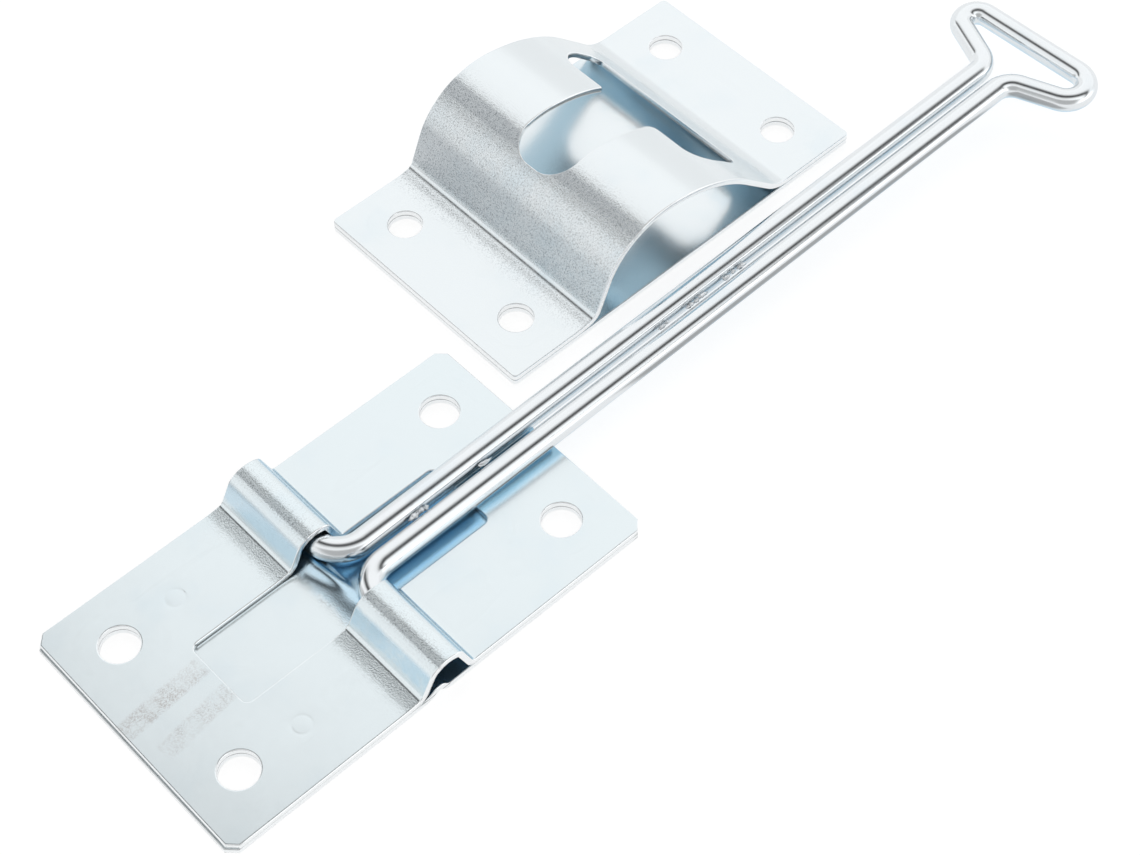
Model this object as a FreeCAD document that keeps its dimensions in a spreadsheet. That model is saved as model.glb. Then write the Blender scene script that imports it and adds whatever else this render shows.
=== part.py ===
"""Trailer door latch: a T hook hinged in a two-sheet holder, and the humped keeper it locks into.

The frame has its origin at the centre of the holder's back face, +Z out of that face,
and +X along the hook towards its T head. The keeper lies beside the hook, as one of the set.
"""
import FreeCAD, Part
import math
import os

import Sketcher

doc = FreeCAD.newDocument("door_latch")
sheet = doc.addObject("Spreadsheet::Sheet", "Sizes")

# Driving sizes: alias, value in millimetres or degrees, meaning
SIZES = (
    ("sheet_gauge", 1.0, "thickness of every sheet"),
    ("holder_length", 78.0, "holder sheets along X"),
    ("holder_width", 46.0, "holder sheets along Y"),
    ("holder_bevel", 1.5, "cut corner of the holder sheets"),
    ("holder_hole", 6.2, "fixing hole diameter in the holder"),
    ("holder_hole_pitch", 61.0, "fixing holes along X"),
    ("holder_hole_gauge", 27.6, "fixing holes across Y"),
    ("back_overhang", 0.3, "back sheet standing out past the front one at the outer end"),
    ("window_outer", 23.3, "window end away from the T head, from the centre"),
    ("window_inner", 22.8, "window end towards the T head, from the centre"),
    ("window_width", 12.9, "window across Y, between the two loops"),
    ("window_corner", 1.2, "corner radius of the window"),
    ("loop_foot_outer", 4.65, "loop foot on the outer side, from the centre"),
    ("loop_shoulder_outer", 2.75, "loop shoulder on the outer side, from the centre"),
    ("loop_shoulder_outer_rise", 4.35, "height of the outer shoulder's corner"),
    ("loop_crest", 0.2, "corner of the crest along X"),
    ("loop_crest_rise", 5.9, "height of the crest's corner"),
    ("loop_shoulder_inner", 2.95, "loop shoulder on the T side, from the centre"),
    ("loop_shoulder_inner_rise", 4.8, "height of the inner shoulder's corner"),
    ("loop_foot_inner", 4.85, "loop foot on the T side, from the centre"),
    ("loop_foot_outer_bend", 2.5, "bend radius on top at the loop's outer foot"),
    ("loop_foot_inner_bend", 0.8, "bend radius on top at the loop's foot on the T side"),
    ("loop_shoulder_bend", 1.4, "bend radius on top at the loop's shoulders"),
    ("loop_crest_bend", 2.8, "bend radius on top at the loop's crest"),
    ("rib_foot_outer", 3.9, "foot of the back sheet's rib on the outer side, from the centre"),
    ("rib_crest", 1.3, "corner of the rib's crest, from the centre to the outer side"),
    ("rib_crest_rise", 1.75, "height of the rib crest's corner"),
    ("rib_foot_inner", 0.25, "foot of the rib on the T side, from the centre"),
    ("rib_foot_outer_bend", 3.0, "bend radius on top at the rib's outer foot"),
    ("rib_crest_bend", 1.3, "bend radius on top at the rib's crest"),
    ("rib_foot_inner_bend", 0.6, "bend radius on top at the rib's foot on the T side"),
    ("wire", 4.0, "diameter of the hook's wire"),
    ("shaft_spacing", 4.8, "between the centre lines of the two shafts"),
    ("hinge_bend", 5.0, "centre line radius from a shaft into its stub"),
    ("stub_reach", 15.0, "stub end from the middle of the hook"),
    ("hinge_place", 0.6, "hinge axis along X"),
    ("hinge_rise", 1.85, "hinge axis over the holder's front face"),
    ("hook_tilt_angle", 1.3, "rise of the shafts towards the T head at rest, degrees"),
    ("neck_near", 140.3, "start of the near neck from the hinge"),
    ("neck_far", 141.1, "start of the far neck from the hinge"),
    ("neck_bend", 4.0, "centre line radius of the necks"),
    ("lobe_near_along", 149.8, "centre of the near lobe from the hinge"),
    ("lobe_near_out", 9.5, "centre of the near lobe from the middle of the hook"),
    ("lobe_near_bend", 3.7, "centre line radius of the near lobe"),
    ("lobe_far_along", 150.05, "centre of the far lobe from the hinge"),
    ("lobe_far_out", 9.85, "centre of the far lobe from the middle of the hook"),
    ("lobe_far_bend", 2.8, "centre line radius of the far lobe"),
    ("keeper_along", 81.5, "keeper centre along X"),
    ("keeper_across", 33.0, "keeper centre along Y"),
    ("keeper_length", 76.4, "keeper sheets along X"),
    ("keeper_width", 44.8, "keeper sheets along Y"),
    ("keeper_corner", 0.9, "corner radius of the keeper sheets"),
    ("keeper_hole", 5.7, "fixing hole diameter in the keeper"),
    ("keeper_hole_pitch", 59.8, "keeper holes along X"),
    ("keeper_hole_gauge", 27.0, "keeper holes across Y"),
    ("hump_foot_steep", 21.75, "steep foot of the hump from the keeper's centre"),
    ("hump_brow", 16.75, "corner between steep side and crest, from the keeper's centre"),
    ("hump_brow_rise", 10.45, "height of the brow's corner"),
    ("hump_crest", 8.35, "corner of the crest, from the keeper's centre to the steep side"),
    ("hump_crest_rise", 15.45, "height of the crest's corner"),
    ("hump_shoulder", 6.9, "corner between crest and gentle side, from the keeper's centre"),
    ("hump_shoulder_rise", 12.85, "height of the shoulder's corner"),
    ("hump_foot_gentle", 20.9, "gentle foot of the hump from the keeper's centre"),
    ("hump_steep_bend", 2.5, "bend radius on top at the steep foot"),
    ("hump_brow_bend", 10.5, "bend radius on top at the brow"),
    ("hump_crest_bend", 12.5, "bend radius on top at the crest"),
    ("hump_shoulder_bend", 30.0, "bend radius on top at the shoulder"),
    ("hump_gentle_bend", 6.6, "bend radius on top at the gentle foot"),
    ("slot_off_middle", 0.25, "middle of the slot from the keeper's own middle, along Y"),
    ("slot_stem_end", 13.7, "closed end of the slot's stem from the keeper's centre"),
    ("slot_stem_width", 11.7, "width of the slot's stem"),
    ("slot_stem_corner", 4.8, "corner radius at the stem's closed end"),
    ("slot_bar_start", 7.6, "edge of the slot's bar on the stem side"),
    ("slot_bar_end", 16.8, "edge of the slot's bar on the far side"),
    ("slot_bar_length", 34.0, "length of the slot's bar across Y"),
    ("slot_bar_corner_stem", 4.5, "corner radius of the bar on the stem side"),
    ("slot_bar_corner_end", 2.0, "corner radius of the bar on its far side"),
    ("slot_neck_near", 1.6, "corner radius between stem and bar on the near side"),
    ("slot_neck_far", 0.4, "corner radius between stem and bar on the far side"),
)


class Dim:
    """A length or angle that carries its number and the text of its expression in the sheet."""

    def __init__(self, value, text):
        self.value = float(value)
        self.text = text

    def __add__(self, other):
        other = as_dim(other)
        return Dim(self.value + other.value, "(%s + %s)" % (self.text, other.text))

    def __sub__(self, other):
        other = as_dim(other)
        return Dim(self.value - other.value, "(%s - %s)" % (self.text, other.text))

    def __mul__(self, other):
        other = as_dim(other)
        return Dim(self.value * other.value, "(%s * %s)" % (self.text, other.text))

    def __truediv__(self, other):
        other = as_dim(other)
        return Dim(self.value / other.value, "(%s / %s)" % (self.text, other.text))

    def __neg__(self):
        return Dim(-self.value, "(0 - %s)" % self.text)


def as_dim(number):
    """Take a plain number or a Dim and give a Dim."""
    return number if isinstance(number, Dim) else Dim(number, repr(float(number)))


# The sheet's cells: the meaning in column A, the number in column B
S = {}
for row, (alias, number, meaning) in enumerate(SIZES, start=1):
    sheet.set("A%d" % row, meaning)
    sheet.set("B%d" % row, str(number))
    sheet.setAlias("B%d" % row, alias)
    S[alias] = Dim(number, "Sizes.%s" % alias)
doc.recompute()


class Drawing:
    """A sketch whose dimensions are all bound to the sheet."""

    def __init__(self, sketch):
        self.sketch = sketch
        self.bound = []

    def geometry(self, shape, construction=False):
        return self.sketch.addGeometry(shape, construction)

    def rule(self, *terms):
        return self.sketch.addConstraint(Sketcher.Constraint(*terms))

    def dimension(self, size, *terms):
        """Add a dimension, with its expression kept for when the sketch is whole."""
        index = self.rule(*terms, size.value)
        name = "size%d" % len(self.bound)
        self.sketch.renameConstraint(index, name)
        self.bound.append((name, size))

    def place(self, item, end, across, up):
        """Put a point at two sizes from the sketch's origin, where None lies on the axis."""
        if across is None:
            self.rule("PointOnObject", item, end, -2)
        else:
            self.dimension(across, "DistanceX", -1, 1, item, end)
        if up is None:
            self.rule("PointOnObject", item, end, -1)
        else:
            self.dimension(up, "DistanceY", -1, 1, item, end)

    def circle(self, across, up, radius):
        centre = FreeCAD.Vector(across.value, up.value, 0)
        item = self.geometry(Part.Circle(centre, FreeCAD.Vector(0, 0, 1), radius.value))
        self.place(item, 3, across, up)
        self.dimension(radius, "Radius", item)

    def four_holes(self, pitch, gauge, diameter):
        for side in (-1, 1):
            for end in (-1, 1):
                self.circle(pitch * (end / 2), gauge * (side / 2), diameter / 2)

    def outline(self, corners, closed=True):
        """Straight runs between corners (across, up, radius), each corner rounded or sharp."""
        spots = [FreeCAD.Vector(0 if a is None else a.value, 0 if u is None else u.value, 0) for a, u, _ in corners]
        count = len(corners)
        starts = {}
        ends = {}
        arcs = {}
        for i, (_, _, radius) in enumerate(corners):
            inside = closed or 0 < i < count - 1
            if radius is None or not inside:
                starts[i] = ends[i] = spots[i]
                continue
            before = (spots[i - 1] - spots[i]).normalize()
            after = (spots[(i + 1) % count] - spots[i]).normalize()
            half = before.getAngle(after) / 2
            setback = radius.value / math.tan(half)
            ends[i] = spots[i] + before * setback
            starts[i] = spots[i] + after * setback
            centre = spots[i] + (before + after).normalize() * (radius.value / math.sin(half))
            arcs[i] = (centre, before.cross(after).z < 0)
        lines = {}
        for i in range(count if closed else count - 1):
            j = (i + 1) % count
            lines[i] = self.geometry(Part.LineSegment(starts[i], ends[j]))
        for i, (across, up, radius) in enumerate(corners):
            before = lines.get((i - 1) % count if closed else i - 1)
            after = lines.get(i)
            if i in arcs:
                self.round_corner(i, spots[i], arcs[i], (ends[i], starts[i]), (before, after), corners[i])
                continue
            if before is not None and after is not None:
                self.rule("Coincident", before, 2, after, 1)
            if after is not None:
                self.place(after, 1, across, up)
            else:
                self.place(before, 2, across, up)

    def round_corner(self, number, spot, arc, ends, lines, corner):
        """An arc tangent to two runs, whose sharp corner stays as a construction point."""
        centre, left = arc
        across, up, radius = corner
        first, last = ends if left else (ends[1], ends[0])
        item = self.geometry(arc_between(centre, radius.value, first, last))
        self.rule("Tangent", lines[0], 2, item, 1 if left else 2)
        self.rule("Tangent", item, 2 if left else 1, lines[1], 1)
        self.dimension(radius, "Radius", item)
        point = self.geometry(Part.Point(spot), True)
        self.rule("PointOnObject", point, 1, lines[0])
        self.rule("PointOnObject", point, 1, lines[1])
        self.place(point, 1, across, up)

    def finish(self):
        """Bind every dimension to the sheet and solve."""
        for name, size in self.bound:
            self.sketch.setExpression("Constraints.%s" % name, size.text)
        doc.recompute()
        return self.sketch


def arc_between(centre, radius, first, last):
    """The arc that runs counter-clockwise from one point to another."""
    start = math.atan2(first.y - centre.y, first.x - centre.x)
    stop = math.atan2(last.y - centre.y, last.x - centre.x)
    if stop < start:
        stop += 2 * math.pi
    circle = Part.Circle(centre, FreeCAD.Vector(0, 0, 1), radius)
    return Part.ArcOfCircle(circle, start, stop)


def section_drawing(name):
    """A sketch standing in the XZ plane, for the side view of a folded sheet."""
    sketch = doc.addObject("Sketcher::SketchObject", name)
    sketch.Placement = FreeCAD.Placement(FreeCAD.Vector(), FreeCAD.Rotation(FreeCAD.Vector(1, 0, 0), 90))
    return Drawing(sketch)


def plan_drawing(name):
    """A sketch lying in the XY plane, for the blank that a sheet is cut to."""
    return Drawing(doc.addObject("Sketcher::SketchObject", name))


def folded_sheet(label, section, plan, width, rise):
    """The sheet under a section's line, carried across its width and cut to its plan.

    The blank reaches two gauges below the line, so it always cuts the whole sheet.
    """
    strip = doc.addObject("Part::Offset2D", label + "_strip")
    strip.Source = section
    strip.Mode = "Skin"
    strip.Join = "Intersection"
    strip.Fill = True
    strip.setExpression("Value", (-S["sheet_gauge"]).text)
    folded = doc.addObject("Part::Extrusion", label + "_folded")
    folded.Base = strip
    folded.DirMode = "Custom"
    folded.Dir = FreeCAD.Vector(0, 1, 0)
    folded.Solid = True
    folded.Symmetric = True
    folded.setExpression("LengthFwd", width.text)
    blank = doc.addObject("Part::Extrusion", label + "_blank")
    blank.Base = plan
    blank.DirMode = "Custom"
    blank.Dir = FreeCAD.Vector(0, 0, 1)
    blank.Solid = True
    blank.setExpression("LengthFwd", rise.text)
    blank.setExpression("LengthRev", (S["sheet_gauge"] * 2).text)
    cut = doc.addObject("Part::MultiCommon", label)
    cut.Shapes = [folded, blank]
    cut.Label = label
    doc.recompute()
    return cut


def put_at(item, along, across, up):
    """Bind a sub-part's place to the sheet."""
    item.setExpression("Placement.Base.x", along.text)
    item.setExpression("Placement.Base.y", across.text)
    item.setExpression("Placement.Base.z", up.text)


gauge = S["sheet_gauge"]
front_level = gauge * 2


# Blank of a holder sheet: cut corners and four fixing holes
def holder_blank(drawing, overhang):
    right = S["holder_length"] / 2
    left = -right - overhang
    side = S["holder_width"] / 2
    bevel = S["holder_bevel"]
    drawing.outline((
        (left + bevel, -side, None),
        (right - bevel, -side, None),
        (right, bevel - side, None),
        (right, side - bevel, None),
        (right - bevel, side, None),
        (left + bevel, side, None),
        (left, side - bevel, None),
        (left, bevel - side, None),
    ))
    drawing.four_holes(S["holder_hole_pitch"], S["holder_hole_gauge"], S["holder_hole"])


# Holder front sheet: two loops folded up on each side of a long window
loop_section = section_drawing("loop_section")
loop_section.outline((
    (S["holder_length"] / -2, None, None),
    (-S["loop_foot_outer"], None, S["loop_foot_outer_bend"]),
    (-S["loop_shoulder_outer"], S["loop_shoulder_outer_rise"], S["loop_shoulder_bend"]),
    (S["loop_crest"], S["loop_crest_rise"], S["loop_crest_bend"]),
    (S["loop_shoulder_inner"], S["loop_shoulder_inner_rise"], S["loop_shoulder_bend"]),
    (S["loop_foot_inner"], None, S["loop_foot_inner_bend"]),
    (S["holder_length"] / 2, None, None),
), closed=False)
loop_section.finish()

front_plan = plan_drawing("holder_front_plan")
holder_blank(front_plan, as_dim(0))
window_side = S["window_width"] / 2
front_plan.outline((
    (-S["window_outer"], -window_side, S["window_corner"]),
    (S["window_inner"], -window_side, S["window_corner"]),
    (S["window_inner"], window_side, S["window_corner"]),
    (-S["window_outer"], window_side, S["window_corner"]),
))
front_plan.finish()
holder_front = folded_sheet(
    "holder_front_plate", loop_section.sketch, front_plan.sketch, S["holder_width"], S["loop_crest_rise"])
put_at(holder_front, as_dim(0), as_dim(0), front_level)

# Holder back sheet: plain, with a rib pressed up under the loops
rib_section = section_drawing("rib_section")
rib_section.outline((
    (S["holder_length"] / -2 - S["back_overhang"], None, None),
    (-S["rib_foot_outer"], None, S["rib_foot_outer_bend"]),
    (-S["rib_crest"], S["rib_crest_rise"], S["rib_crest_bend"]),
    (S["rib_foot_inner"], None, S["rib_foot_inner_bend"]),
    (S["holder_length"] / 2, None, None),
), closed=False)
rib_section.finish()

back_plan = plan_drawing("holder_back_plan")
holder_blank(back_plan, S["back_overhang"])
back_plan.finish()
holder_back = folded_sheet(
    "holder_back_plate", rib_section.sketch, back_plan.sketch, S["holder_width"], S["rib_crest_rise"])
put_at(holder_back, as_dim(0), as_dim(0), gauge)


# Blank of a keeper sheet: rounded corners and four fixing holes
def keeper_blank(drawing):
    end = S["keeper_length"] / 2
    side = S["keeper_width"] / 2
    corner = S["keeper_corner"]
    drawing.outline((
        (-end, -side, corner),
        (end, -side, corner),
        (end, side, corner),
        (-end, side, corner),
    ))
    drawing.four_holes(S["keeper_hole_pitch"], S["keeper_hole_gauge"], S["keeper_hole"])


# Keeper front sheet: one wide hump with a T-shaped slot over its crest
hump_section = section_drawing("hump_section")
hump_section.outline((
    (S["keeper_length"] / -2, None, None),
    (-S["hump_foot_steep"], None, S["hump_steep_bend"]),
    (-S["hump_brow"], S["hump_brow_rise"], S["hump_brow_bend"]),
    (-S["hump_crest"], S["hump_crest_rise"], S["hump_crest_bend"]),
    (S["hump_shoulder"], S["hump_shoulder_rise"], S["hump_shoulder_bend"]),
    (S["hump_foot_gentle"], None, S["hump_gentle_bend"]),
    (S["keeper_length"] / 2, None, None),
), closed=False)
hump_section.finish()

keeper_plan = plan_drawing("keeper_front_plan")
keeper_blank(keeper_plan)
stem_near = S["slot_off_middle"] - S["slot_stem_width"] / 2
stem_far = S["slot_off_middle"] + S["slot_stem_width"] / 2
bar_near_end = S["slot_off_middle"] - S["slot_bar_length"] / 2
bar_far_end = S["slot_off_middle"] + S["slot_bar_length"] / 2
keeper_plan.outline((
    (-S["slot_stem_end"], stem_near, S["slot_stem_corner"]),
    (S["slot_bar_start"], stem_near, S["slot_neck_near"]),
    (S["slot_bar_start"], bar_near_end, S["slot_bar_corner_stem"]),
    (S["slot_bar_end"], bar_near_end, S["slot_bar_corner_end"]),
    (S["slot_bar_end"], bar_far_end, S["slot_bar_corner_end"]),
    (S["slot_bar_start"], bar_far_end, S["slot_bar_corner_stem"]),
    (S["slot_bar_start"], stem_far, S["slot_neck_far"]),
    (-S["slot_stem_end"], stem_far, S["slot_stem_corner"]),
))
keeper_plan.finish()
keeper_front = folded_sheet(
    "keeper_front_plate", hump_section.sketch, keeper_plan.sketch, S["keeper_width"], S["hump_crest_rise"])
put_at(keeper_front, S["keeper_along"], S["keeper_across"], front_level)


def origin_plane(body, role):
    """The body's own origin plane of a role."""
    return next(plane for plane in body.Origin.OriginFeatures if plane.Role == role)


def body_drawing(body, name, role):
    """A sketch on one of a body's origin planes."""
    sketch = body.newObject("Sketcher::SketchObject", name)
    sketch.AttachmentSupport = [(origin_plane(body, role), "")]
    sketch.MapMode = "FlatFace"
    return Drawing(sketch)


# Keeper back sheet: flat
keeper_back = doc.addObject("PartDesign::Body", "keeper_back_plate")
keeper_back.Label = "keeper_back_plate"
back_blank = body_drawing(keeper_back, "keeper_back_blank", "XY_Plane")
keeper_blank(back_blank)
back_blank.finish()
back_pad = keeper_back.newObject("PartDesign::Pad", "keeper_back_pad")
back_pad.Profile = back_blank.sketch
back_pad.setExpression("Length", gauge.text)
put_at(keeper_back, S["keeper_along"], S["keeper_across"], as_dim(0))

# T hook: one wire from stub to stub, in the flat of its own bends
hook = doc.addObject("PartDesign::Body", "t_hook")
hook.Label = "t_hook"
route = body_drawing(hook, "hook_route", "XY_Plane")


def tangent_points(first, first_radius, second, second_radius, turn):
    """Where the straight run between two bends that turn opposite ways leaves each of them."""
    span = second - first
    reach = span.Length
    along = FreeCAD.Vector(span).normalize()
    across = FreeCAD.Vector(-along.y, along.x, 0)
    lean = (first_radius + second_radius) / reach
    normal = along * lean + across * (turn * math.sqrt(1 - lean * lean))
    return first + normal * first_radius, second - normal * second_radius


def hook_half(hand, neck, lobe_along, lobe_out, lobe_bend):
    """One side of the hook: stub, hinge bend, shaft, neck, leg and lobe, as sketch items in order."""
    half = S["shaft_spacing"] / 2
    bend = S["hinge_bend"]
    neck_bend = S["neck_bend"]
    side = half.value * hand
    corner = side + bend.value * hand
    lobe = FreeCAD.Vector(lobe_along.value, lobe_out.value * hand, 0)
    neck_centre = FreeCAD.Vector(neck.value, side + neck_bend.value * hand, 0)
    leg_start, leg_end = tangent_points(neck_centre, neck_bend.value, lobe, lobe_bend.value, -hand)
    stub_end = FreeCAD.Vector(0, S["stub_reach"].value * hand, 0)
    stub_start = FreeCAD.Vector(0, corner, 0)
    shaft_start = FreeCAD.Vector(bend.value, side, 0)
    shaft_end = FreeCAD.Vector(neck.value, side, 0)
    bend_centre = FreeCAD.Vector(bend.value, corner, 0)
    ccw = hand > 0
    stub = route.geometry(Part.LineSegment(stub_end, stub_start))
    turn = route.geometry(arc_between(bend_centre, bend.value, *in_order(stub_start, shaft_start, ccw)))
    shaft = route.geometry(Part.LineSegment(shaft_start, shaft_end))
    neck_arc = route.geometry(arc_between(neck_centre, neck_bend.value, *in_order(shaft_end, leg_start, ccw)))
    leg = route.geometry(Part.LineSegment(leg_start, leg_end))
    near, far = (1, 2) if ccw else (2, 1)
    route.rule("Tangent", stub, 2, turn, near)
    route.rule("Tangent", turn, far, shaft, 1)
    route.rule("Tangent", shaft, 2, neck_arc, near)
    route.rule("Tangent", neck_arc, far, leg, 1)
    route.place(stub, 1, None, S["stub_reach"] * hand)
    route.rule("Vertical", stub)
    route.rule("Horizontal", shaft)
    route.dimension(half * hand, "DistanceY", -1, 1, shaft, 2)
    route.dimension(bend, "Radius", turn)
    route.dimension(neck_bend, "Radius", neck_arc)
    route.dimension(neck, "DistanceX", -1, 1, neck_arc, 3)
    return leg, leg_end, lobe, lobe_bend.value


def in_order(first, last, ccw):
    """Two ends of an arc in the order that makes it run counter-clockwise."""
    return (first, last) if ccw else (last, first)


def bar_points(far, far_radius, near, near_radius):
    """Where the outer bar touches the two lobes, on the side away from the shafts."""
    span = near - far
    reach = span.Length
    along = FreeCAD.Vector(span).normalize()
    across = FreeCAD.Vector(-along.y, along.x, 0)
    lean = (far_radius - near_radius) / reach
    normal = along * lean + across * math.sqrt(1 - lean * lean)
    return far + normal * far_radius, near + normal * near_radius


far_leg, far_leg_end, far_lobe, far_bend = hook_half(
    1, S["neck_far"], S["lobe_far_along"], S["lobe_far_out"], S["lobe_far_bend"])
near_leg, near_leg_end, near_lobe, near_bend = hook_half(
    -1, S["neck_near"], S["lobe_near_along"], S["lobe_near_out"], S["lobe_near_bend"])
bar_far, bar_near = bar_points(far_lobe, far_bend, near_lobe, near_bend)
far_arc = route.geometry(arc_between(far_lobe, far_bend, bar_far, far_leg_end))
bar = route.geometry(Part.LineSegment(bar_far, bar_near))
near_arc = route.geometry(arc_between(near_lobe, near_bend, near_leg_end, bar_near))
route.rule("Tangent", far_leg, 2, far_arc, 2)
route.rule("Tangent", far_arc, 1, bar, 1)
route.rule("Tangent", bar, 2, near_arc, 2)
route.rule("Tangent", near_arc, 1, near_leg, 2)
route.place(far_arc, 3, S["lobe_far_along"], S["lobe_far_out"])
route.place(near_arc, 3, S["lobe_near_along"], -S["lobe_near_out"])
route.dimension(S["lobe_far_bend"], "Radius", far_arc)
route.dimension(S["lobe_near_bend"], "Radius", near_arc)
route.finish()

wire_end = body_drawing(hook, "wire_end", "XZ_Plane")
wire_end.sketch.setExpression("AttachmentOffset.Base.z", (-S["stub_reach"]).text)
wire_round = wire_end.geometry(Part.Circle(FreeCAD.Vector(), FreeCAD.Vector(0, 0, 1), S["wire"].value / 2))
wire_end.rule("Coincident", wire_round, 3, -1, 1)
wire_end.dimension(S["wire"] / 2, "Radius", wire_round)
wire_end.finish()

hook_wire = hook.newObject("PartDesign::AdditivePipe", "hook_wire")
hook_wire.Profile = wire_end.sketch
hook_wire.Spine = (route.sketch, [])
put_at(hook, S["hinge_place"], as_dim(0), front_level + S["hinge_rise"])
hook.Placement.Rotation = FreeCAD.Rotation(FreeCAD.Vector(0, 1, 0), -S["hook_tilt_angle"].value)
hook.setExpression("Placement.Rotation.Angle", "%s * -1 deg" % S["hook_tilt_angle"].text)
doc.recompute()

# Nothing is written unless every object is sound
PARTS = (holder_front, holder_back, hook, keeper_front, keeper_back)
for item in doc.Objects:
    if "Invalid" in item.State or "Error" in item.State:
        raise RuntimeError("%s did not recompute: %s" % (item.Label, item.State))
for item in PARTS:
    shape = item.Shape
    if shape.isNull() or not shape.isValid() or len(shape.Solids) != 1:
        raise RuntimeError("%s is not one valid solid" % item.Label)
os.makedirs("parts", exist_ok=True)
for item in PARTS:
    item.Shape.exportStep("parts/%s.step" % item.Label)
    box = item.Shape.BoundBox
    print("%s: %.1f mm3, box %.2f %.2f %.2f to %.2f %.2f %.2f" % (
        item.Label, item.Shape.Volume, box.XMin, box.YMin, box.ZMin, box.XMax, box.YMax, box.ZMax))
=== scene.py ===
"""Trailer door latch in zinc-plated steel, dressed for its portrait.

The sheets and the wire are worked out again as whole-array surfaces with rolled shear edges,
so that the plating catches the light along every cut, and a painted highlight is added there.
The latch's lengths are millimetres until a mesh is made, and the meshes, the studio and the
camera are in metres.
"""

import logging
import math
from dataclasses import dataclass
from enum import Enum
from typing import Callable, Sequence

import bpy
import numpy as np
from mathutils import Matrix, Vector
from mathutils.geometry import delaunay_2d_cdt


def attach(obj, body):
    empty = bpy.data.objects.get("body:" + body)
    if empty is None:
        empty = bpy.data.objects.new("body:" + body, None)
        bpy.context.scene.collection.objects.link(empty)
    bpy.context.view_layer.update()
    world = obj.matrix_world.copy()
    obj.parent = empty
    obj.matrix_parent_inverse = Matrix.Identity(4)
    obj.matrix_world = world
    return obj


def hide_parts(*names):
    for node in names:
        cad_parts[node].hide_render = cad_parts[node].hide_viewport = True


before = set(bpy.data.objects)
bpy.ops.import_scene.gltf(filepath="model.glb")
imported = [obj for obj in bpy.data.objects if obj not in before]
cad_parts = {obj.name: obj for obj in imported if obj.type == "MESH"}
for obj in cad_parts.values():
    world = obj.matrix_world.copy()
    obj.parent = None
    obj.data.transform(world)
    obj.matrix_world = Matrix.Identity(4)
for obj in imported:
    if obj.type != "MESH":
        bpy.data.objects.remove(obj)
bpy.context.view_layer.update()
log = logging.getLogger("door_latch")

MM = 0.001  # metres
GAUGE = 1.0  # thickness of every sheet
CORNER_STEPS = 6.0  # points for each radian of a corner of radius 1
FOLD_STEPS = 7.0  # the same for a bend of radius 0
FOOT_BATCH = 2000  # points measured at once, to spare memory
EDGE_STEP = 1.5  # longest run along a sheet's outer edge
LINE_STEP = 3.0  # widest gap between two mesh lines along a sheet
LINE_CLEAR = 0.4  # how far such a line keeps from the sheet's ends
SIDE_CLEAR = (1.2, 0.6)  # how far the lines across keep from the sheet's sides
ROLL_LOOPS = 4  # loops that follow a rolled edge
ROLL_REST = 0.12  # from the rolled edge to one more loop
ALL_FACES, SAME_POINT = 0, 1e-4  # what the triangulation keeps, and the points that it joins
RIM_WIDTH = 0.35  # how far the mark of a cut edge reaches into a face
WAVES = (9.0, 7.0, 15.0)  # lengths of a sheet's slow unevenness along, across and aslant
WAVE_EDGE = (0.2, 4.0)  # distances from a cut where that unevenness starts and is full
UNDER_STRAIN = 0.5  # share of the strain that shows below
ARC_STEP = 5.0  # degrees between two points of the wire's bends

Array = Loop = np.ndarray
Pair = tuple[float, float]
Triple = tuple[float, float, float]
Colour = Triple
Levels = tuple[Pair, ...]
Rows = tuple[tuple[float, ...], ...]
Material, Object = bpy.types.Material, bpy.types.Object
Tree, Node, Socket = bpy.types.NodeTree, bpy.types.Node, bpy.types.NodeSocket
Outputs = bpy.types.NodeOutputs


class Body(Enum):
    """The bodies that the pieces ride on."""

    PLATES = "plates"
    HOOK = "hook"


class Slot(Enum):
    """The record's material slots."""

    HOLDER = "holder_zinc"
    KEEPER = "keeper_zinc"
    WIRE = "wire_zinc"


# Plane outlines


def turn_between(first: Array, last: Array) -> float:
    """The angle from one vector to another, counter-clockwise."""
    return math.atan2(first[0] * last[1] - first[1] * last[0], float(first @ last))


def directions(first: Array, turn: float, count: int) -> Array:
    """Unit vectors that start in a vector's direction and turn on evenly."""
    angles = math.atan2(first[1], first[0]) + np.linspace(0, turn, count)
    return np.stack([np.cos(angles), np.sin(angles)], -1)


def rounded_outline(corners: Sequence[Triple], step: float = 1.0) -> Loop:
    """A closed outline whose corners are rounded by arcs tangent to both sides.

    Each corner's arc starts a setback of radius over the tangent of half the corner's angle
    before it, and its points follow centre plus radius times the unit circle.

    Args:
        corners: (x, y, radius) in order.
        step: the longest run between two points.

    Returns:
        The points, one row each.
    """
    spots = np.array([c[:2] for c in corners], float)
    points: list[Array] = []
    for i, (spot, (_, _, radius)) in enumerate(zip(spots, corners)):
        before = spots[i - 1] - spot
        after = spots[(i + 1) % len(spots)] - spot
        before /= np.linalg.norm(before)
        after /= np.linalg.norm(after)
        half = math.acos(float(np.clip(before @ after, -1, 1))) / 2
        centre = spot + (before + after) / np.linalg.norm(before + after) * radius / math.sin(half)
        first = spot + before * radius / math.tan(half) - centre
        last = spot + after * radius / math.tan(half) - centre
        turn = turn_between(first, last)
        count = max(3, int(abs(turn) * math.sqrt(radius) * CORNER_STEPS))
        points.append(centre + radius * directions(first, turn, count))
    return divided(np.concatenate(points), step)


def divided(loop: Loop, step: float) -> Loop:
    """A closed loop with its long runs divided evenly.

    Args:
        loop: its points.
        step: the longest run that stays.

    Returns:
        The loop with more points.
    """
    following = np.roll(loop, -1, axis=0)
    runs = []
    for start, end in zip(loop, following):
        count = max(1, int(math.ceil(np.linalg.norm(end - start) / step)))
        runs.append(start + (end - start) * np.linspace(0, 1, count, endpoint=False)[:, None])
    return np.concatenate(runs)


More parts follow.
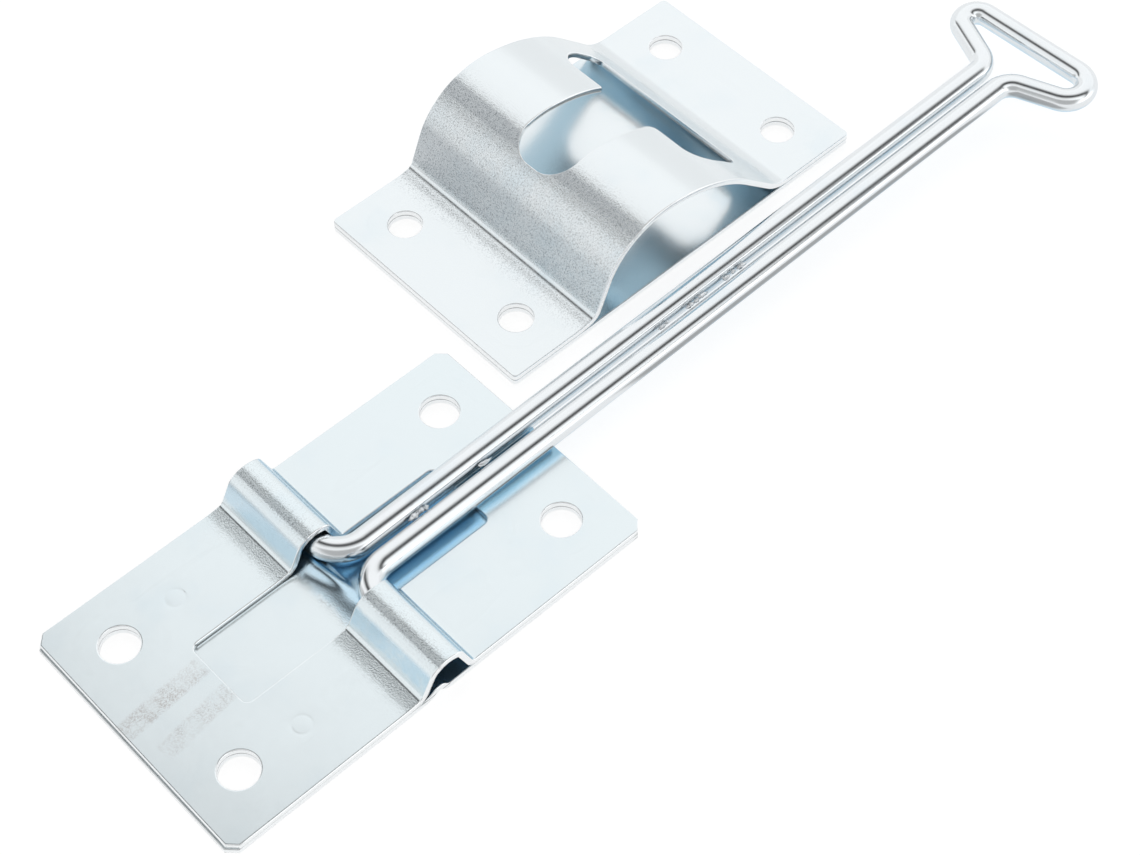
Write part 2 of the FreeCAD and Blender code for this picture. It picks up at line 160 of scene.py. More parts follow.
def circle(x: float, y: float, radius: float, count: int = 56) -> Loop:
    """A circle as a closed loop: centre plus radius times the unit circle."""
    angles = np.linspace(0, 2 * math.pi, count, endpoint=False)
    return np.stack([x + radius * np.cos(angles), y + radius * np.sin(angles)], -1)


def four_holes(x: float, y: float, pitch: float, gauge: float, diameter: float) -> list[Loop]:
    """Four screw holes at half a pitch and half a gauge each way from a centre."""
    return [circle(x + sx * pitch / 2, y + sy * gauge / 2, diameter / 2) for sx in (-1, 1) for sy in (-1, 1)]


def inset(loop: Loop, distance: float) -> Loop:
    """A loop moved to its left by a distance.

    Each point goes along the sum of its two runs' left normals, longer by one over the cosine
    of half the turn, so that the moved runs stay parallel to the old ones.

    Args:
        loop: its points.
        distance: how far to the left.

    Returns:
        The moved loop.
    """
    runs = np.roll(loop, -1, axis=0) - loop
    runs /= np.linalg.norm(runs, axis=1, keepdims=True)
    left = np.stack([-runs[:, 1], runs[:, 0]], -1)
    both = left + np.roll(left, 1, axis=0)
    return loop + both * (2 * distance / np.sum(both * both, axis=1, keepdims=True))


def counter_clockwise(loop: Loop, wanted: bool = True) -> Loop:
    """The loop run counter-clockwise, or clockwise for a hole, by the sign of its area.

    Args:
        loop: its points.
        wanted: False for a hole.

    Returns:
        The loop, turned round where needed.
    """
    following = np.roll(loop, -1, axis=0)
    area = np.sum(loop[:, 0] * following[:, 1] - loop[:, 1] * following[:, 0])
    return loop if (area > 0) == wanted else loop[::-1]


def inside(points: Array, loops: Sequence[Loop]) -> Array:
    """Whether each point lies in the material.

    A ray to the right of such a point crosses the loops an odd number of times.

    Args:
        points: one row each.
        loops: the cuts.

    Returns:
        True for each point in the material.
    """
    odd = np.zeros(len(points), bool)
    x, y = points[:, :1], points[:, 1:]
    for loop in loops:
        ax, ay = loop.T
        bx, by = np.roll(loop, -1, axis=0).T
        spans = (ay > y) != (by > y)
        rise = np.where(by == ay, 1.0, by - ay)
        odd ^= (np.sum(spans & (x < ax + (y - ay) * (bx - ax) / rise), axis=1) % 2).astype(bool)
    return odd


def distance_to(points: Array, loops: Sequence[Loop]) -> Array:
    """The shortest way from each point to any run of the loops, with the foot held to the run's ends.

    Args:
        points: one row each.
        loops: the cuts.

    Returns:
        The distance for each point.
    """
    nearest = np.full(len(points), np.inf)
    for loop in loops:
        run = np.roll(loop, -1, axis=0) - loop
        for first in range(0, len(points), FOOT_BATCH):
            batch = slice(first, first + FOOT_BATCH)
            away = points[batch, None] - loop[None]
            share = np.clip(np.sum(away * run, -1) / np.sum(run * run, -1), 0, 1)
            gap = np.linalg.norm(away - share[..., None] * run, axis=-1).min(1)
            nearest[batch] = np.minimum(nearest[batch], gap)
    return nearest


# Meshes


def smoothstep(low: float, high: float, value: Array) -> Array:
    """The cubic that rises from 0 at low to 1 at high and is flat outside."""
    share = np.clip((value - low) / (high - low), 0, 1)
    return share * share * (3 - 2 * share)


def make_mesh(name: str, points: Array, faces: list, marks: dict[str, Array]) -> Object:
    """A smooth-shaded object in the frame from points in millimetres.

    Args:
        name: the piece's name.
        points: one row each.
        faces: tuples of point numbers.
        marks: values for each point that the finishes read, as numbers or as rows of three.

    Returns:
        The object, linked to the scene.
    """
    mesh = bpy.data.meshes.new(name)
    mesh.from_pydata((points * MM).tolist(), [], faces)
    for title, values in marks.items():
        kind, field = ("FLOAT_VECTOR", "vector") if values.ndim == 2 else ("FLOAT", "value")
        mark = mesh.attributes.new(title, kind, "POINT")
        mark.data.foreach_set(field, values.astype(np.float32).ravel())
    mesh.polygons.foreach_set("use_smooth", np.ones(len(mesh.polygons), bool))
    mesh.update()
    mesh.validate()
    made = bpy.data.objects.new(name, mesh)
    bpy.context.scene.collection.objects.link(made)
    return made


def place(piece: Object, material: Material, body: Body, slot: Slot) -> None:
    """Dress a piece, put it on its body and report it.

    Args:
        piece: the piece.
        material: its finish.
        body: what it rides on.
        slot: its material slot; not used.
    """
    piece.data.materials.append(material)
    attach(piece, body.value)
    log.info("%s: %d faces on %s", piece.name, len(piece.data.polygons), body.value)


# Folded sheets


@dataclass(frozen=True)
class Fold:
    """The side view of a sheet's top face, as straight runs with rounded corners.

    Attributes:
        corners: (x, z, bend radius) from end to end.
        along: where the corners' own zero lies on X.
        level: height of the flats' top face.
    """

    corners: tuple[Triple, ...]
    along: float
    level: float

    def lines(self) -> tuple[Array, Array]:
        """The top line and the line one gauge under it, each as rows of (x, z).

        The under line is the top line moved along its normal by the gauge.

        Returns:
            The top line and the under line.
        """
        spots = np.array([c[:2] for c in self.corners], float)
        top = [spots[:1]]
        normals = [self.normal(spots[0], spots[1])[None]]
        for i in range(1, len(spots) - 1):
            radius = self.corners[i][2]
            enter = self.normal(spots[i - 1], spots[i])
            leave = self.normal(spots[i], spots[i + 1])
            turn = turn_between(enter, leave)
            side = -math.copysign(1.0, turn)
            centre = spots[i] - side * radius * (enter + leave) / (1 + enter @ leave)
            count = max(4, int(abs(turn) * math.sqrt(radius + 1) * FOLD_STEPS))
            normal = directions(enter, turn, count)
            top.append(centre + side * radius * normal)
            normals.append(normal)
        top.append(spots[-1:])
        normals.append(self.normal(spots[-2], spots[-1])[None])
        line = np.concatenate(top) + np.array([self.along, self.level])
        return line, line - GAUGE * np.concatenate(normals)

    @staticmethod
    def normal(start: Array, end: Array) -> Array:
        """The upward normal of a run."""
        run = (end - start) / np.linalg.norm(end - start)
        return np.array([-run[1], run[0]])


@dataclass(frozen=True)
class Dimple:
    """The ring that a spot weld's electrode leaves.

    It is depth times a bell curve over the distance from the ring.
    """

    x: float
    y: float
    radius: float = 1.55
    width: float = 0.22
    depth: float = 0.018
    around: int = 28

    def rings(self) -> list[Loop]:
        """Circles for the mesh to follow."""
        return [circle(self.x, self.y, self.radius + k * self.width, self.around) for k in range(-2, 3)]

    def drop(self, x: Array, y: Array) -> Array:
        """How far the face sinks at each point."""
        away = np.hypot(x - self.x, y - self.y) - self.radius
        return self.depth * np.exp(-(away / self.width) ** 2)


@dataclass(frozen=True)
class Saddle:
    """A dent across a rib, where it sinks into a soft mound.

    Attributes:
        middle: its y.
        half: half width of the bell curve over y.
        lost: share of the rib's height that it takes away.
        run: how far it carries the rib's foot to the right.
        reach: x where the foot is carried not at all, and where it is carried fully.
        mound: height, x and half width of the mound that stays.
        lines: first x, last x and step of the mesh lines through it.
        across_step: step of the mesh lines across it.
    """

    middle: float = -2.5
    half: float = 6.0
    lost: float = 0.97
    run: float = 2.6
    reach: Pair = (2.0, -3.0)
    mound: Triple = (0.5, -0.9, 2.0)
    lines: Triple = (-5.5, 2.6, 0.35)
    across_step: float = 0.7

    def refined(self, lines_x: Array, lines_y: Array) -> tuple[Array, Array]:
        """The mesh lines with the ones through the dent added.

        Args:
            lines_x: x of the lines across the sheet.
            lines_y: y of the lines along it.

        Returns:
            Both with more lines.
        """
        through = np.arange(self.middle - 2 * self.half, self.middle + 2 * self.half, self.across_step)
        return (np.union1d(lines_x, np.round(np.arange(*self.lines), 2)),
                np.union1d(lines_y, np.round(through, 2)))

    def bent(self, x: Array, y: Array, rise: Callable[[Array], Array]) -> Array:
        """The rib's rise with the dent in it.

        The rise is read a little behind x, lowered by the share lost times a bell curve over y,
        and the mound is a bell curve over x times the same.

        Args:
            x: of each point.
            y: of each point.
            rise: gives the straight rib's rise over the flats at an x.

        Returns:
            The rise at each point.
        """
        sag = np.exp(-((y - self.middle) / self.half) ** 2)
        behind = x - self.run * sag * smoothstep(*self.reach, x)
        height, centre, wide = self.mound
        mound = height * self.lost * sag * np.exp(-((x - centre) / wide) ** 2)
        return rise(behind) * (1 - self.lost * sag) + mound


@dataclass
class Sheet:
    """One stamped and folded sheet.

    The sheet is two height fields over one plan: the fold's top and under lines read at each
    point's x. Close to a cut the top face rolls over by a quarter circle, as the punch leaves
    it, and the under face by a smaller one.

    Attributes:
        name: the piece's name.
        node: the solid that it stands for.
        fold: its side view.
        outline: its cut edge.
        holes: loops cut out of it.
        dimples: spot-weld rings in its top face.
        roll: radius of the rolled edge on top.
        burr: radius of the rolled edge below.
        wave: depth of the slow unevenness of its top face.
        phase: where that unevenness starts.
        across_step: step of its mesh lines across.
        strain_and_shade: how far the plating is stretched, as (x from the fold's zero, amount) in
            order of x. 1 is a grainy bend, and from 1.2 on the colour also darkens, as painted
            shade on the steep slopes and the dark bands of the bends.
        drift: share by which strain_and_shade grows for each millimetre across, so that the
            far side is grainier and, past 1.2, darker as painted shade.
        shade: how far the top face is tinted bluish as painted shade, in the same form.
        shade_under: how far the under face is tinted bluish as painted shade.
        saddle: the dent in its rib.
    """

    name: str
    node: str
    fold: Fold
    outline: Loop
    holes: list[Loop]
    dimples: tuple[Dimple, ...] = ()
    roll: float = 0.2
    burr: float = 0.09
    wave: float = 0.02
    phase: float = 0.0
    across_step: float = 2.5
    strain_and_shade: Levels = ((0.0, 0.0),)
    drift: float = 0.0
    shade: Levels = ((0.0, 0.0),)
    shade_under: float = 1.0
    saddle: Saddle | None = None

    def plan(self) -> tuple[Array, Array, list[Loop]]:
        """The sheet's plan as triangles.

        Lines along both bends of the fold and the insets of every cut are constraints, so no
        triangle spans a bend or an edge.

        Returns:
            The points, the triangles run counter-clockwise, and the cut loops.
        """
        cuts = [counter_clockwise(self.outline)] + [counter_clockwise(h, False) for h in self.holes]
        low, high = self.outline.min(0), self.outline.max(0)
        top, under = self.fold.lines()
        lines_x = np.concatenate([top[:, 0], under[:, 0], np.arange(low[0], high[0], LINE_STEP)])
        lines_x = np.unique(np.round(lines_x, 2))
        lines_x = lines_x[(lines_x > low[0] + LINE_CLEAR) & (lines_x < high[0] - LINE_CLEAR)]
        lines_y = np.arange(low[1] + SIDE_CLEAR[0], high[1] - SIDE_CLEAR[1], self.across_step)
        if self.saddle:
            lines_x, lines_y = self.saddle.refined(lines_x, lines_y)
        points = [np.array([[x, low[1] - 1], [x, high[1] + 1]]) for x in lines_x]
        points += [np.array([[low[0] - 1, y], [high[0] + 1, y]]) for y in lines_y]
        edges = [(2 * i, 2 * i + 1) for i in range(len(points))]
        count = 2 * len(points)
        bends = np.linspace(0, math.pi / 2, ROLL_LOOPS)
        steps = [*(self.roll * (1 - np.cos(bends))), self.roll + ROLL_REST]
        loops = [inset(cut, step) if step else cut for cut in cuts for step in steps]
        for dimple in self.dimples:
            loops += dimple.rings()
        for loop in loops:
            points.append(loop)
            edges += [(count + i, count + (i + 1) % len(loop)) for i in range(len(loop))]
            count += len(loop)
        flat = [Vector(p) for p in np.concatenate(points)]
        verts, _, faces, *_ = delaunay_2d_cdt(flat, edges, [], ALL_FACES, SAME_POINT)
        plan = np.array([v[:] for v in verts])
        triangles = np.array([f[:] for f in faces])
        triangles = triangles[inside(plan[triangles].mean(1), cuts)]
        used, triangles = np.unique(triangles, return_inverse=True)
        return plan[used], triangles.reshape(-1, 3), cuts

    def heights(self, plan: Array, gap: Array) -> tuple[Array, Array]:
        """Top and under heights: the fold's lines at x, less the rolled edges, the rings and the wave.

        A rolled edge of radius r sinks by r less the root of r squared less (r less d) squared,
        where d is the distance to the cut. The wave is one sine over x times one over y, plus
        one over both.

        Args:
            plan: the points.
            gap: distance of each to the nearest cut.

        Returns:
            The heights of the top face and of the under face.
        """
        x, y = plan.T
        top, under = self.fold.lines()
        level = self.fold.level

        def rise(spot: Array) -> Array:
            """The fold's rise over its flats."""
            return np.interp(spot, *top.T) - level

        high = level + (self.saddle.bent(x, y, rise) if self.saddle else rise(x))
        low = np.maximum(high - np.interp(x, *top.T) + np.interp(x, *under.T), level - GAUGE)
        low += self.sunk(gap, self.burr)
        high -= self.sunk(gap, self.roll)
        along, across, aslant = WAVES
        slow = np.sin(x / along + self.phase) * np.sin(y / across + 1.7 * self.phase)
        slow += np.sin((x + y) / aslant - self.phase)
        high -= self.wave * (0.5 + 0.25 * slow) * smoothstep(*WAVE_EDGE, gap)
        for dimple in self.dimples:
            high -= dimple.drop(x, y)
        return high, low

    @staticmethod
    def sunk(gap: Array, radius: float) -> Array:
        """How far a quarter-round edge sinks at a distance from the cut."""
        short = np.clip(radius - gap, 0, radius)
        return radius - np.sqrt(radius * radius - short * short)

    def build(self) -> Object:
        """Both faces and the cut walls between them as one closed mesh.

        Returns:
            The piece, which stands for its solid.
        """
        plan, triangles, cuts = self.plan()
        gap = distance_to(plan, cuts)
        high, low = self.heights(plan, gap)
        count = len(plan)
        along = plan[:, 0] - self.fold.along
        strain_and_shade = np.interp(along, *zip(*self.strain_and_shade))
        strain_and_shade *= 1 + self.drift * (plan[:, 1] - self.outline[:, 1].mean())
        shade = np.interp(along, *zip(*self.shade))
        rim = 1 - smoothstep(0.0, RIM_WIDTH, gap)
        marks = {
            "strain_and_shade": np.concatenate([strain_and_shade, UNDER_STRAIN * strain_and_shade]),
            "shade": np.concatenate([shade, np.full(count, self.shade_under)]),
            "rim": np.concatenate([rim, rim]),
        }
        points = np.concatenate([np.column_stack([plan, high]), np.column_stack([plan, low])])
        sides = np.concatenate([triangles[:, [0, 1]], triangles[:, [1, 2]], triangles[:, [2, 0]]])
        _, first, times = np.unique(np.sort(sides, axis=1), axis=0, return_index=True, return_counts=True)
        start, end = sides[first[times == 1]].T
        walls = np.column_stack([start, start + count, end + count, end])
        faces = triangles.tolist() + (triangles[:, ::-1] + count).tolist() + walls.tolist()
        made = make_mesh(self.name, points, faces, marks)
        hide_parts(self.node)
        return made


@dataclass
class Holder:
    """The hook's holder: a back sheet with a rib, and a front sheet with two loops beside a window."""

    length: float = 78.0
    width: float = 46.0
    bevel: float = 1.5  # of the cut corners
    overhang: float = 0.3  # of the back sheet at its left end
    hole: float = 6.2
    pitch: float = 61.0  # from hole to hole along
    gauge: float = 27.6  # and across
    window: Triple = (-23.3, 22.8, 12.9)  # left end, right end, width
    window_corner: float = 1.2
    welds: tuple[Pair, ...] = ()

    def blank(self, overhang: float) -> Loop:
        """The sheet's edge with its cut corners.

        Args:
            overhang: how far the sheet stands out at its left end.

        Returns:
            The outline.
        """
        right, side, bevel = self.length / 2, self.width / 2, self.bevel
        left = -right - overhang
        corners = [(left + bevel, -side), (right - bevel, -side), (right, bevel - side),
                   (right, side - bevel), (right - bevel, side), (left + bevel, side),
                   (left, side - bevel), (left, bevel - side)]
        return divided(np.array(corners), EDGE_STEP)

    def front(self) -> Sheet:
        """The front sheet with its loops.

        Returns:
            The sheet.
        """
        half = self.length / 2
        loops = Fold(((-half, 0, 0), (-7.3, 0, 20.0), (-4.85, 0.3, 1.3), (-2.75, 4.35, 3.1),
                      (0.15, 6.0, 4.5), (2.95, 4.8, 1.4), (4.85, 0, 0.8), (half, 0, 0)), 0.0, 2 * GAUGE)
        left, right, wide = self.window
        spots = ((left, -wide / 2), (right, -wide / 2), (right, wide / 2), (left, wide / 2))
        window = rounded_outline([(x, y, self.window_corner) for x, y in spots])
        holes = four_holes(0, 0, self.pitch, self.gauge, self.hole)
        dimples = tuple(Dimple(x, y) for x, y in self.welds)
        # Past 1.2 these levels darken a band before the loops' crest as painted shade.
        strain_and_shade = ((-9.5, 0.0), (-7.8, 0.3), (-6.4, 0.8), (-5.6, 0.9), (-5.1, 0.2), (-2.2, 0.2),
                  (-1.7, 0.5), (-1.3, 1.8), (-0.9, 1.5), (-0.4, 0.8), (0.6, 0.35), (2.4, 0.15),
                  (3.0, 0.6), (4.8, 0.6), (5.2, 0.1), (5.6, 0.0))
        # These levels tint the loops' slopes bluish as painted shade.
        shade = ((-4.7, 0.0), (-4.1, 0.7), (-3.0, 0.7), (-2.6, 0.05), (2.3, 0.0), (2.8, 1.2),
                 (4.9, 1.2), (5.2, 0.0))
        return Sheet("holder_front_sheet", "holder_front_plate", loops, self.blank(0.0),
                     [window, *holes], dimples, strain_and_shade=strain_and_shade, shade=shade)

    def back(self) -> Sheet:
        """The back sheet with its rib.

        Returns:
            The sheet.
        """
        half = self.length / 2
        rib = Fold(((-half - self.overhang, 0, 0), (-5.2, 0, 6.0), (-3.7, 0.2, 3.0),
                    (-1.3, 1.75, 1.7), (0.25, 0, 0.6), (half, 0, 0)), 0.0, GAUGE)
        holes = four_holes(0, 0, self.pitch, self.gauge, self.hole)
        strain_and_shade = ((-5.6, 0.0), (-4.2, 0.5), (-2.6, 0.3), (-1.0, 0.15), (1.5, 0.0))
        # These levels tint the rib and the window's floor under the hook bluish as painted shade.
        shade = ((-5.0, 0.0), (-3.4, 0.7), (-1.0, 1.0), (2.0, 1.3), (22.0, 1.3), (24.0, 0.0))
        return Sheet("holder_back_sheet", "holder_back_plate", rib, self.blank(self.overhang), holes,
                     wave=0.008, phase=2.0, strain_and_shade=strain_and_shade, shade=shade, shade_under=0.1, saddle=Saddle())

    def build(self, material: Material) -> None:
        """Make and place both sheets."""
        for sheet in (self.front(), self.back()):
            place(sheet.build(), material, Body.PLATES, Slot.HOLDER)


@dataclass
class Keeper:
    """The keeper: a flat back sheet, and a front sheet humped over it with a T-shaped slot."""

    along: float = 81.5  # of its middle in the frame
    across: float = 33.0
    length: float = 76.4
    width: float = 44.8
    corner: float = 0.9
    hole: float = 5.7
    pitch: float = 59.8  # from hole to hole along
    gauge: float = 27.0  # and across
    slot_shift: float = 0.25  # across, off the middle

    def blank(self) -> Loop:
        """The sheet's edge with its rounded corners.

        Returns:
            The outline.
        """
        end, side = self.length / 2, self.width / 2
        corners = [(sx * end, sy * side, self.corner) for sx, sy in ((-1, -1), (1, -1), (1, 1), (-1, 1))]
        return rounded_outline(corners, EDGE_STEP) + np.array([self.along, self.across])

    def slot(self) -> Loop:
        """The T-shaped slot: a stem with a round end, and a bar across it.

        Returns:
            The outline.
        """
        stem, bar, closed, start, end = 5.85, 17.0, -13.7, 7.6, 16.8
        corners = [(closed, -stem, 4.8), (start, -stem, 1.6), (start, -bar, 4.5), (end, -bar, 2.0),
                   (end, bar, 2.0), (start, bar, 4.5), (start, stem, 0.4), (closed, stem, 4.8)]
        return rounded_outline(corners, step=0.8) + np.array([self.along, self.across + self.slot_shift])

    def holes(self) -> list[Loop]:
        """The four screw holes."""
        return four_holes(self.along, self.across, self.pitch, self.gauge, self.hole)

    def front(self) -> Sheet:
        """The humped sheet: a steep side, a brow, a crest, a broad shoulder and a gentle side.

        Returns:
            The sheet.
        """
        half = self.length / 2
        hump = Fold(((-half, 0, 0), (-23.6, 0, 10.0), (-21.0, 0.5, 1.7), (-16.85, 10.55, 13.5),
                     (-8.4, 15.565, 15.0), (6.9, 12.9, 30.0), (20.9, 0, 6.6), (half, 0, 0)),
                    self.along, 2 * GAUGE)
        # Past 1.2 these levels darken the steep slope and the band on the brow as painted shade, and drift makes
        # that darker towards the far side.
        strain_and_shade = ((-26.0, 0.0), (-24.0, 0.6), (-22.4, 1.1), (-21.8, 0.7), (-21.4, 0.2), (-20.9, 0.3),
                  (-20.5, 1.78), (-18.0, 1.74), (-17.0, 1.0), (-13.6, 1.0), (-12.6, 2.0),
                  (-11.0, 2.0), (-9.8, 0.4), (-7.0, 0.05), (16.0, 0.0), (20.0, 0.15), (24.0, 0.0))
        # These levels tint the steep side and the gentle side slightly bluish as painted shade.
        shade = ((-22.5, 0.0), (-21.0, 0.25), (-13.0, 0.1), (-10.0, 0.0), (8.0, 0.0), (14.0, 0.1),
                 (19.0, 0.12), (22.0, 0.0))
        return Sheet("keeper_front_sheet", "keeper_front_plate", hump, self.blank(),
                     [self.slot(), *self.holes()], phase=4.0, strain_and_shade=strain_and_shade, drift=0.006, shade=shade)

    def back(self) -> Sheet:
        """The flat sheet.

        Returns:
            The sheet.
        """
        half = self.length / 2
        flat = Fold(((-half, 0, 0), (half, 0, 0)), self.along, GAUGE)
        # These levels tint the floor under the hump's ends bluish as painted shade.
        shade = ((-21.5, 0.0), (-18.0, 0.7), (-9.0, 0.0), (10.0, 0.0), (16.0, 0.5), (21.5, 0.0))
        return Sheet("keeper_back_sheet", "keeper_back_plate", flat, self.blank(), self.holes(),
                     wave=0.008, phase=1.0, shade=shade, shade_under=0.1)

    def build(self, material: Material) -> None:
        """Make and place both sheets."""
        for sheet in (self.front(), self.back()):
            place(sheet.build(), material, Body.PLATES, Slot.KEEPER)


# The wire


def tube_faces(rings: int, around: int, flipped: bool = False) -> tuple[Array, Array]:
    """Faces of a closed tube whose points run ring by ring, then the first end and the last.

    Args:
        rings: how many.
        around: points of each.
        flipped: whether the faces look to the other side.

    Returns:
        The point numbers of the quads and of the end triangles, one row for each face.
    """
    i, j = np.meshgrid(np.arange(rings - 1), np.arange(around), indexing="ij")
    k = (j + 1) % around
    quads = np.stack([i * around + j, (i + 1) * around + j, (i + 1) * around + k, i * around + k], -1)
    quads = quads.reshape(-1, 4)
    n = np.arange(around)
    m = (n + 1) % around
    ends = np.full(around, rings * around)
    caps = np.concatenate([np.column_stack([ends, n, m]),
                           np.column_stack([ends + 1, ends - around + m, ends - around + n])])
    return (quads[:, [0, 3, 2, 1]], caps[:, [0, 2, 1]]) if flipped else (quads, caps)


@dataclass
class WireHook:
    """One wire bent from stub to stub: two shafts side by side that open into a T.

    Attributes:
        tips: (way in from the end, radius lost) of the wire's rounded ends.
        points: along a stub, a shaft and the head's bar.
        around: points of each ring.
    """

    diameter: float = 4.0
    spacing: float = 4.8  # from shaft to shaft
    hinge: Triple = (0.6, 0.0, 3.85)
    tilt: float = 1.3  # degrees
    stub: float = 15.0  # from the middle to a stub's end
    hinge_bend: float = 5.0
    neck_bend: float = 4.0
    necks: Pair = (140.3, 141.1)  # where the near shaft ends, and the far one
    lobe_near: Triple = (149.8, -9.5, 3.7)  # along, across, radius
    lobe_far: Triple = (150.05, 9.85, 2.8)
    tips: Levels = ((0.0, 0.4), (0.03, 0.24), (0.1, 0.11), (0.22, 0.03), (0.4, 0.0))
    points: tuple[int, int, int] = (8, 60, 10)
    around: int = 48

    @staticmethod
    def arc(centre: Array, radius: float, start: Array, end: Array, ccw: bool) -> Array:
        """Points of an arc about a centre, every few degrees.

        Args:
            centre: of the arc.
            radius: of the arc.
            start, end: points in the directions of its ends.
            ccw: whether it runs counter-clockwise.

        Returns:
            The points.
        """
        first, last = (math.atan2(*(spot - centre)[::-1]) for spot in (start, end))
        turn = (last - first) % (2 * math.pi) if ccw else -((first - last) % (2 * math.pi))
        count = max(6, int(abs(turn) / math.radians(ARC_STEP)))
        return centre + radius * directions(start - centre, turn, count)

    @staticmethod
    def tangent_run(first: Array, r1: float, second: Array, r2: float, side: float) -> tuple[Array, Array]:
        """Where the run that crosses between two circles touches each.

        The run's normal leans towards the second centre by the sum of radii over the distance.
        With the second radius negative the run stays on one side of both.

        Args:
            first, second: the circles' centres.
            r1, r2: their radii.
            side: 1 where the run starts on the left of the way to the second centre, -1 on its right.

        Returns:
            Both points.
        """
        span = second - first
        reach = float(np.linalg.norm(span))
        along = span / reach
        across = np.array([-along[1], along[0]])
        lean = (r1 + r2) / reach
        normal = along * lean + across * side * math.sqrt(1 - lean * lean)
        return first + normal * r1, second - normal * r2

    def half(self, hand: int, neck: float, lobe: Triple) -> tuple[list[Array], Array]:
        """One side of the route from its stub to its lobe, and where the lobe's arc starts.

        Args:
            hand: 1 for the far side, -1 for the near one.
            neck: where the shaft ends.
            lobe: (along, across, radius) of the lobe.

        Returns:
            The parts of the route in order, and the arc's start.
        """
        side = self.spacing / 2 * hand
        bend = self.hinge_bend
        outer = side + bend * hand
        stub_points, shaft_points, _ = self.points
        neck_centre = np.array([neck, side + self.neck_bend * hand])
        leg_start, leg_end = self.tangent_run(neck_centre, self.neck_bend, np.array(lobe[:2]), lobe[2], -hand)
        stub = np.column_stack([np.zeros(stub_points), np.linspace(self.stub * hand, outer, stub_points)])[:-1]
        turn = self.arc(np.array([bend, outer]), bend, np.array([0, outer]), np.array([bend, side]), hand > 0)
        run = np.column_stack([np.linspace(bend, neck, shaft_points), np.full(shaft_points, side)])[1:-1]
        neck_arc = self.arc(neck_centre, self.neck_bend, np.array([neck, side]), leg_start, hand > 0)
        return [stub, turn, run, neck_arc], leg_end

    def route(self) -> Array:
        """The wire's centre line in its own flat, from the far stub round the T to the near stub.

        Returns:
            The points.
        """
        far, far_leg = self.half(1, self.necks[1], self.lobe_far)
        near, near_leg = self.half(-1, self.necks[0], self.lobe_near)
        far_centre, near_centre = np.array(self.lobe_far[:2]), np.array(self.lobe_near[:2])
        far_radius, near_radius = self.lobe_far[2], self.lobe_near[2]
        bar_far, bar_near = self.tangent_run(far_centre, far_radius, near_centre, -near_radius, 1)
        far_arc = self.arc(far_centre, far_radius, far_leg, bar_far, False)
        near_arc = self.arc(near_centre, near_radius, bar_near, near_leg, False)
        bar = bar_far + (bar_near - bar_far) * np.linspace(0, 1, self.points[2])[1:-1, None]
        back = np.concatenate([part[::-1] for part in near[::-1]])
        points = np.concatenate([*far, far_arc, bar, near_arc, back])
        keep = np.concatenate([[True], np.linalg.norm(np.diff(points, axis=0), axis=1) > 1e-6])
        return points[keep]

    def to_frame(self, flat: Array, up: Array) -> Array:
        """From the wire's flat to the frame: turned about Y by the tilt, then moved to the hinge.

        Args:
            flat: points in the wire's flat.
            up: their heights over it.

        Returns:
            The points in the frame.
        """
        slope = math.radians(self.tilt)
        x = flat[..., 0] * math.cos(slope) - up * math.sin(slope)
        z = flat[..., 0] * math.sin(slope) + up * math.cos(slope)
        return np.stack([x + self.hinge[0], flat[..., 1] + self.hinge[1], z + self.hinge[2]], -1)

    def build(self, material: Material) -> None:
        """Carry a circle along the route.

        A point is the route's point plus the radius times (cosine of the angle times the route's
        left normal, plus sine times up). The radius shrinks by a quarter circle at both ends.

        Args:
            material: the wire's finish.
        """
        route = self.route()
        tangent = np.gradient(route, axis=0)
        tangent /= np.linalg.norm(tangent, axis=1, keepdims=True)
        left = np.stack([-tangent[:, 1], tangent[:, 0]], -1)
        along = np.concatenate([[0], np.cumsum(np.linalg.norm(np.diff(route, axis=0), axis=1))])
        radius = self.diameter / 2
        ease, shrink = np.array(self.tips).T
        head = route[:1] + tangent[:1] * ease[:, None]
        tail = route[-1:] - tangent[-1:] * ease[::-1, None]
        centres = np.concatenate([head, route[1:-1], tail])
        lefts = np.repeat(left, [len(ease), *[1] * (len(left) - 2), len(ease)], axis=0)
        radii = np.concatenate([radius - shrink, np.full(len(route) - 2, radius), radius - shrink[::-1]])
        lengths = np.concatenate([along[0] + ease, along[1:-1], along[-1] - ease[::-1]])
        angles = np.linspace(0, 2 * math.pi, self.around, endpoint=False)
        across, up = np.outer(radii, np.cos(angles)), np.outer(radii, np.sin(angles))
        flat = centres[:, None] + across[..., None] * lefts[:, None]
        ends = self.to_frame(centres[[0, -1]], np.zeros(2))
        points = np.concatenate([self.to_frame(flat, up).reshape(-1, 3), ends])
        path = np.stack([np.repeat(lengths, self.around), across.ravel(), up.ravel()], -1)
        path = np.concatenate([path, [[lengths[0], 0.0, 0.0], [lengths[-1], 0.0, 0.0]]])
        quads, caps = tube_faces(len(centres), self.around)
        made = make_mesh("hook_wire", points, quads.tolist() + caps.tolist(), {"path": path})
        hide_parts("t_hook")
        place(made, material, Body.HOOK, Slot.WIRE)


